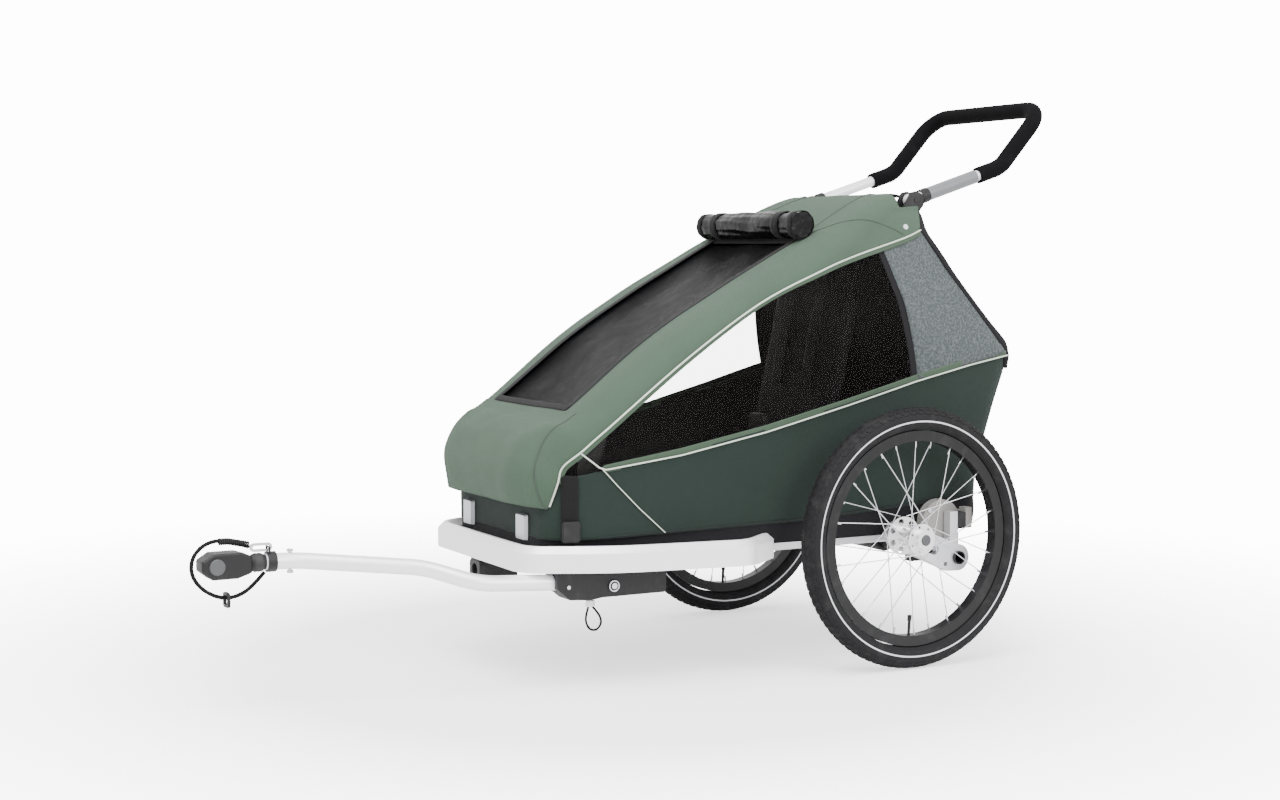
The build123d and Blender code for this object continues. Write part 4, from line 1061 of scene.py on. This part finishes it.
def make_roll():
    rows = [roll_ring(-ROLL_HALF, ROLL_R * share, 72, share) for share in (0.02, 0.35, 0.7, 0.93)]
    rows += [roll_ring(x, ROLL_R, 72, 1.0) for x in np.linspace(-ROLL_HALF, ROLL_HALF, 90)]
    rows += [roll_ring(ROLL_HALF, ROLL_R * share, 72, share) for share in (0.93, 0.7, 0.35, 0.02)]
    roll = link("rain_roll", grid_mesh("rain_roll", rows, wrap_columns=True), [ROLL_FILM])
    fold_with_frame(roll)
    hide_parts("rain_cover_roll")
    for number, x in enumerate(STRAP_X):
        band = [roll_ring(x + offset, ROLL_R + 0.0016, 72, 0.4) for offset in (-0.012, -0.006, 0.006, 0.012)]
        wrap_roll(f"roll_strap_{number}", band, 0.0016)
    for number, side in enumerate((-1, 1)):
        cap = [roll_ring(side * (ROLL_HALF - d), ROLL_R + 0.0010, 72, 0.5)
               for d in (0.0, 0.004, 0.010, 0.016)]
        wrap_roll(f"roll_end_{number}", cap, 0.0014)


make_roll()


# ---------------------------------------------------------------- wheels
RING_R = 0.2265
SECTION_R = 0.0222
TREAD_BLOCKS = 88
AXLE_Z = 0.250
NIPPLE_REACH = (0.1868, 0.1740)


def wheel_point(hand, x, radius, angle):
    return at(hand * x, radius * math.cos(angle), AXLE_Z + radius * math.sin(angle))


def tyre_mesh(hand, name):
    rows = []
    for i in range(120):
        angle = 2 * math.pi * i / 120
        rows.append([wheel_point(hand, WHEEL_X + SECTION_R * math.sin(turn),
                                 RING_R + SECTION_R * math.cos(turn), angle)
                     for turn in np.linspace(-2.55, 2.55, 30)])
    return grid_mesh(name, rows, wrap_rows=True)


def tread_mesh(hand, name):
    """Low blocks in five staggered rows round the crown and shoulders."""
    points, faces = [], []
    for row, turn in enumerate((-0.92, -0.5, 0.0, 0.5, 0.92)):
        half_turn = 0.15 if abs(turn) < 0.8 else 0.13
        for number in range(TREAD_BLOCKS):
            angle = 2 * math.pi * (number + 0.5 * (row % 2)) / TREAD_BLOCKS
            half_angle = 0.36 * 2 * math.pi / TREAD_BLOCKS
            lean = 0.010 * (1 if row in (0, 3) else -1 if row in (1, 4) else 0)
            first = len(points)
            for height, shrink in ((-0.0006, 1.0), (0.0013, 0.8)):
                for da, dt in ((-1, -1), (1, -1), (1, 1), (-1, 1)):
                    t = turn + dt * half_turn * shrink
                    r = SECTION_R + height
                    a = angle + da * half_angle * shrink + lean * dt
                    points.append(wheel_point(hand, WHEEL_X + r * math.sin(t), RING_R + r * math.cos(t), a))
            faces.append(tuple(first + k for k in (4, 5, 6, 7)))
            for k in range(4):
                faces.append((first + k, first + (k + 1) % 4, first + 4 + (k + 1) % 4, first + 4 + k))
    mesh = bpy.data.meshes.new(name)
    mesh.from_pydata([tuple(point) for point in points], [], faces)
    return mesh


def stripe_mesh(hand, name):
    """The reflective ring on the outer and inner sidewalls."""
    pieces = []
    for side in (-1, 1):
        rows = []
        for i in range(120):
            angle = 2 * math.pi * i / 120
            rows.append([wheel_point(hand, WHEEL_X + side * (SECTION_R + 0.0004) * math.sin(turn),
                                     RING_R + (SECTION_R + 0.0004) * math.cos(turn), angle)
                         for turn in np.linspace(1.60, 1.73, 3)])
        band = grid_mesh(f"{name}_{side}", rows, wrap_rows=True)
        pieces.append(link(f"{name}_{side}", band, [REFLECT_BAND]))
    return pieces


def small_rod(name, start, end, radius, material):
    return tube_piece(name, [start, (start + end) / 2, end], radius, material)


def nipples(hand, name):
    rods = []
    for flange, x_shift, half_step in ((0, -0.004, 0.0), (1, 0.004, 0.5)):
        for number in range(14):
            angle = 2 * math.pi * (number + half_step) / 14
            ends = [wheel_point(hand, WHEEL_X + x_shift, radius, angle) for radius in NIPPLE_REACH]
            rods.append(small_rod(f"{name}_{flange}_{number}", *ends, 0.0019, SPOKE_STEEL))
    return join(name, rods)


def make_wheel(hand, word):
    body = f"wheel_{word}"
    tyre = link(f"tyre_casing_{word}", tyre_mesh(hand, f"tyre_casing_{word}"), [RUBBER])
    tread = link(f"tyre_tread_{word}", tread_mesh(hand, f"tyre_tread_{word}"), [RUBBER])
    for piece in (tyre, tread):
        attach(piece, body)
    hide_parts(f"tyre_{word}")
    stripe = join(f"reflective_stripe_{word}", stripe_mesh(hand, f"stripe_{word}"))
    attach(stripe, body)
    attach(nipples(hand, f"spoke_nipples_{word}"), body)
    valve_angle = -math.pi / 2 - 0.05
    valve = join(f"valve_{word}", [
        small_rod(f"valve_stem_{word}", wheel_point(hand, WHEEL_X, 0.187, valve_angle),
                  wheel_point(hand, WHEEL_X, 0.158, valve_angle), 0.0030, BLACK_PLASTIC),
        small_rod(f"valve_cap_{word}", wheel_point(hand, WHEEL_X, 0.159, valve_angle),
                  wheel_point(hand, WHEEL_X, 0.148, valve_angle), 0.0042, BLACK_PLASTIC)])
    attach(valve, body)


make_wheel(1, "left")
make_wheel(-1, "right")


# ---------------------------------------------------------------- small fittings
SIDEWAYS = (1, 0, 0)


def make_disc(name, centre, axis, radius, thick, material):
    half = Vector(axis).normalized() * thick / 2
    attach(small_rod(name, centre - half, centre + half, radius, material), "root")


def make_front_corner_straps():
    """Webbing over each front corner of the body, with a side-release buckle."""
    for hand, word in ((1, "left"), (-1, "right")):
        rows = []
        for z in np.linspace(0.268, 0.392, 16):
            rows.append([wall_point(hand, y, z, -0.0012) for y in np.linspace(-0.683, -0.655, 4)])
        webbing(f"corner_strap_{word}", rows, thick=0.0018)
        top, low = wall_point(hand, -0.669, 0.308, -0.006), wall_point(hand, -0.669, 0.274, -0.006)
        buckle = bpy.data.meshes.new(f"corner_buckle_{word}")
        work = bmesh.new()
        bmesh.ops.create_cube(work, size=1.0)
        bmesh.ops.scale(work, vec=(0.008, 0.034, 0.038), verts=work.verts)
        bmesh.ops.bevel(work, geom=work.edges[:], offset=0.0026, segments=3, affect="EDGES")
        work.to_mesh(buckle)
        work.free()
        piece = link(f"corner_buckle_{word}", buckle, [BLACK_PLASTIC])
        piece.location = (top + low) / 2
        piece.rotation_euler = (0, 0, math.radians(-14 * hand))
        fold_with_frame(piece)


def make_ribbed_sleeve():
    """Ribbed guard over the leash where it passes above the coupling."""
    rings = []
    for number in range(15):
        y = -1.276 + 0.0036 * number
        z = float(np.interp(y, [-1.297, -1.26, -1.225], [0.2995, 0.2985, 0.2905]))
        ring = [at(0.100 + 0.0050 * math.cos(a), y, z + 0.0050 * math.sin(a)) for a in
                [2 * math.pi * k / 20 for k in range(20)]]
        rings.append(tube_piece(f"rib_{number}", ring, 0.0014, BLACK_PLASTIC, closed=True))
    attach(join("leash_guard", rings), "root")


def make_screws():
    for word, hand in (("left", 1), ("right", -1)):
        for number, (y, z) in enumerate(((0.084, 0.290), (0.098, 0.232))):
            make_disc(f"housing_screw_{word}_{number}", at(hand * 0.2852, y, z), SIDEWAYS, 0.0045, 0.0030,
                      SPOKE_STEEL)
        snap = at(hand * (half_width(0.062, 0.842) + 0.001), 0.062, 0.842)
        make_disc(f"snap_{word}", snap, (1, 0, 0.35), 0.0055, 0.003, REFLECT_BAND)
    ring = [at(0.2275, -0.580 + 0.0095 * math.cos(a), 0.186 + 0.0095 * math.sin(a))
            for a in [2 * math.pi * k / 32 for k in range(32)]]
    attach(tube_piece("bracket_ring", ring, 0.0014, SPOKE_STEEL, closed=True), "root")
    make_disc("bracket_bolt", at(0.2258, -0.580, 0.186), SIDEWAYS, 0.0058, 0.006, SPOKE_STEEL)
    make_disc("bracket_screw", at(0.2250, -0.672, 0.190), SIDEWAYS, 0.0036, 0.004, SPOKE_STEEL)


make_front_corner_straps()
make_ribbed_sleeve()
make_screws()


# ---------------------------------------------------------------- floor and light
FLOOR_REACH = 12.0
NEAR_COVER = 0.92  # how far the floor hides the backdrop near the trailer


def make_stage():
    """A pale floor that fades into the white backdrop away from the trailer."""
    mesh = bpy.data.meshes.new("floor")
    corners = [(x * FLOOR_REACH, y * FLOOR_REACH, 0) for x, y in ((-1, -1), (1, -1), (1, 1), (-1, 1))]
    mesh.from_pydata(corners, [], [(0, 1, 2, 3)])
    material, tree, shader = start_material("pale_floor")
    shader.inputs["Base Color"].default_value = (0.93, 0.93, 0.93, 1)
    shader.inputs["Roughness"].default_value = 0.9
    shader.inputs["Specular IOR Level"].default_value = 0.1
    _, axes = object_axes(tree)
    far = math_node(tree, "SQRT", math_node(tree, "ADD", math_node(tree, "MULTIPLY", axes["X"], axes["X"]),
                                            math_node(tree, "MULTIPLY", axes["Y"], axes["Y"])))
    fade = math_node(tree, "MULTIPLY", math_node(tree, "SUBTRACT", far, 0.7), 0.6)
    lost = math_node(tree, "MULTIPLY", clamp(tree, fade), NEAR_COVER)
    solid = math_node(tree, "SUBTRACT", NEAR_COVER, lost)
    tree.links.new(solid, shader.inputs["Alpha"])
    floor = link("floor", mesh, [material])


def make_world():
    """Even white light; the backdrop itself looks brighter than the light it gives."""
    world = bpy.data.worlds.new("studio")
    world.use_nodes = True
    tree = world.node_tree
    light = tree.nodes["Background"]
    light.inputs["Color"].default_value = (1.0, 1.0, 1.0, 1)
    light.inputs["Strength"].default_value = 2.0
    backdrop = tree.nodes.new("ShaderNodeBackground")
    backdrop.inputs["Color"].default_value = (1.0, 1.0, 1.0, 1)
    backdrop.inputs["Strength"].default_value = 14.0
    rays = tree.nodes.new("ShaderNodeLightPath")
    mix = tree.nodes.new("ShaderNodeMixShader")
    tree.links.new(rays.outputs["Is Camera Ray"], mix.inputs[0])
    tree.links.new(light.outputs[0], mix.inputs[1])
    tree.links.new(backdrop.outputs[0], mix.inputs[2])
    tree.links.new(mix.outputs[0], tree.nodes["World Output"].inputs["Surface"])
    bpy.context.scene.world = world


def make_lamp(name, place, aim, size, power):
    data = bpy.data.lights.new(name, "AREA")
    data.shape = "RECTANGLE"
    data.size, data.size_y = size
    data.energy = power
    lamp = bpy.data.objects.new(name, data)
    lamp.location = place
    lamp.rotation_euler = (Vector(aim) - Vector(place)).to_track_quat("-Z", "Y").to_euler()
    bpy.context.scene.collection.objects.link(lamp)


make_stage()
make_world()
make_lamp("key", (1.4, -1.2, 3.8), (0, 0, 0.4), (2.6, 2.6), 215)
make_lamp("side", (4.2, 1.4, 2.4), (0, 0, 0.5), (2.2, 2.2), 150)
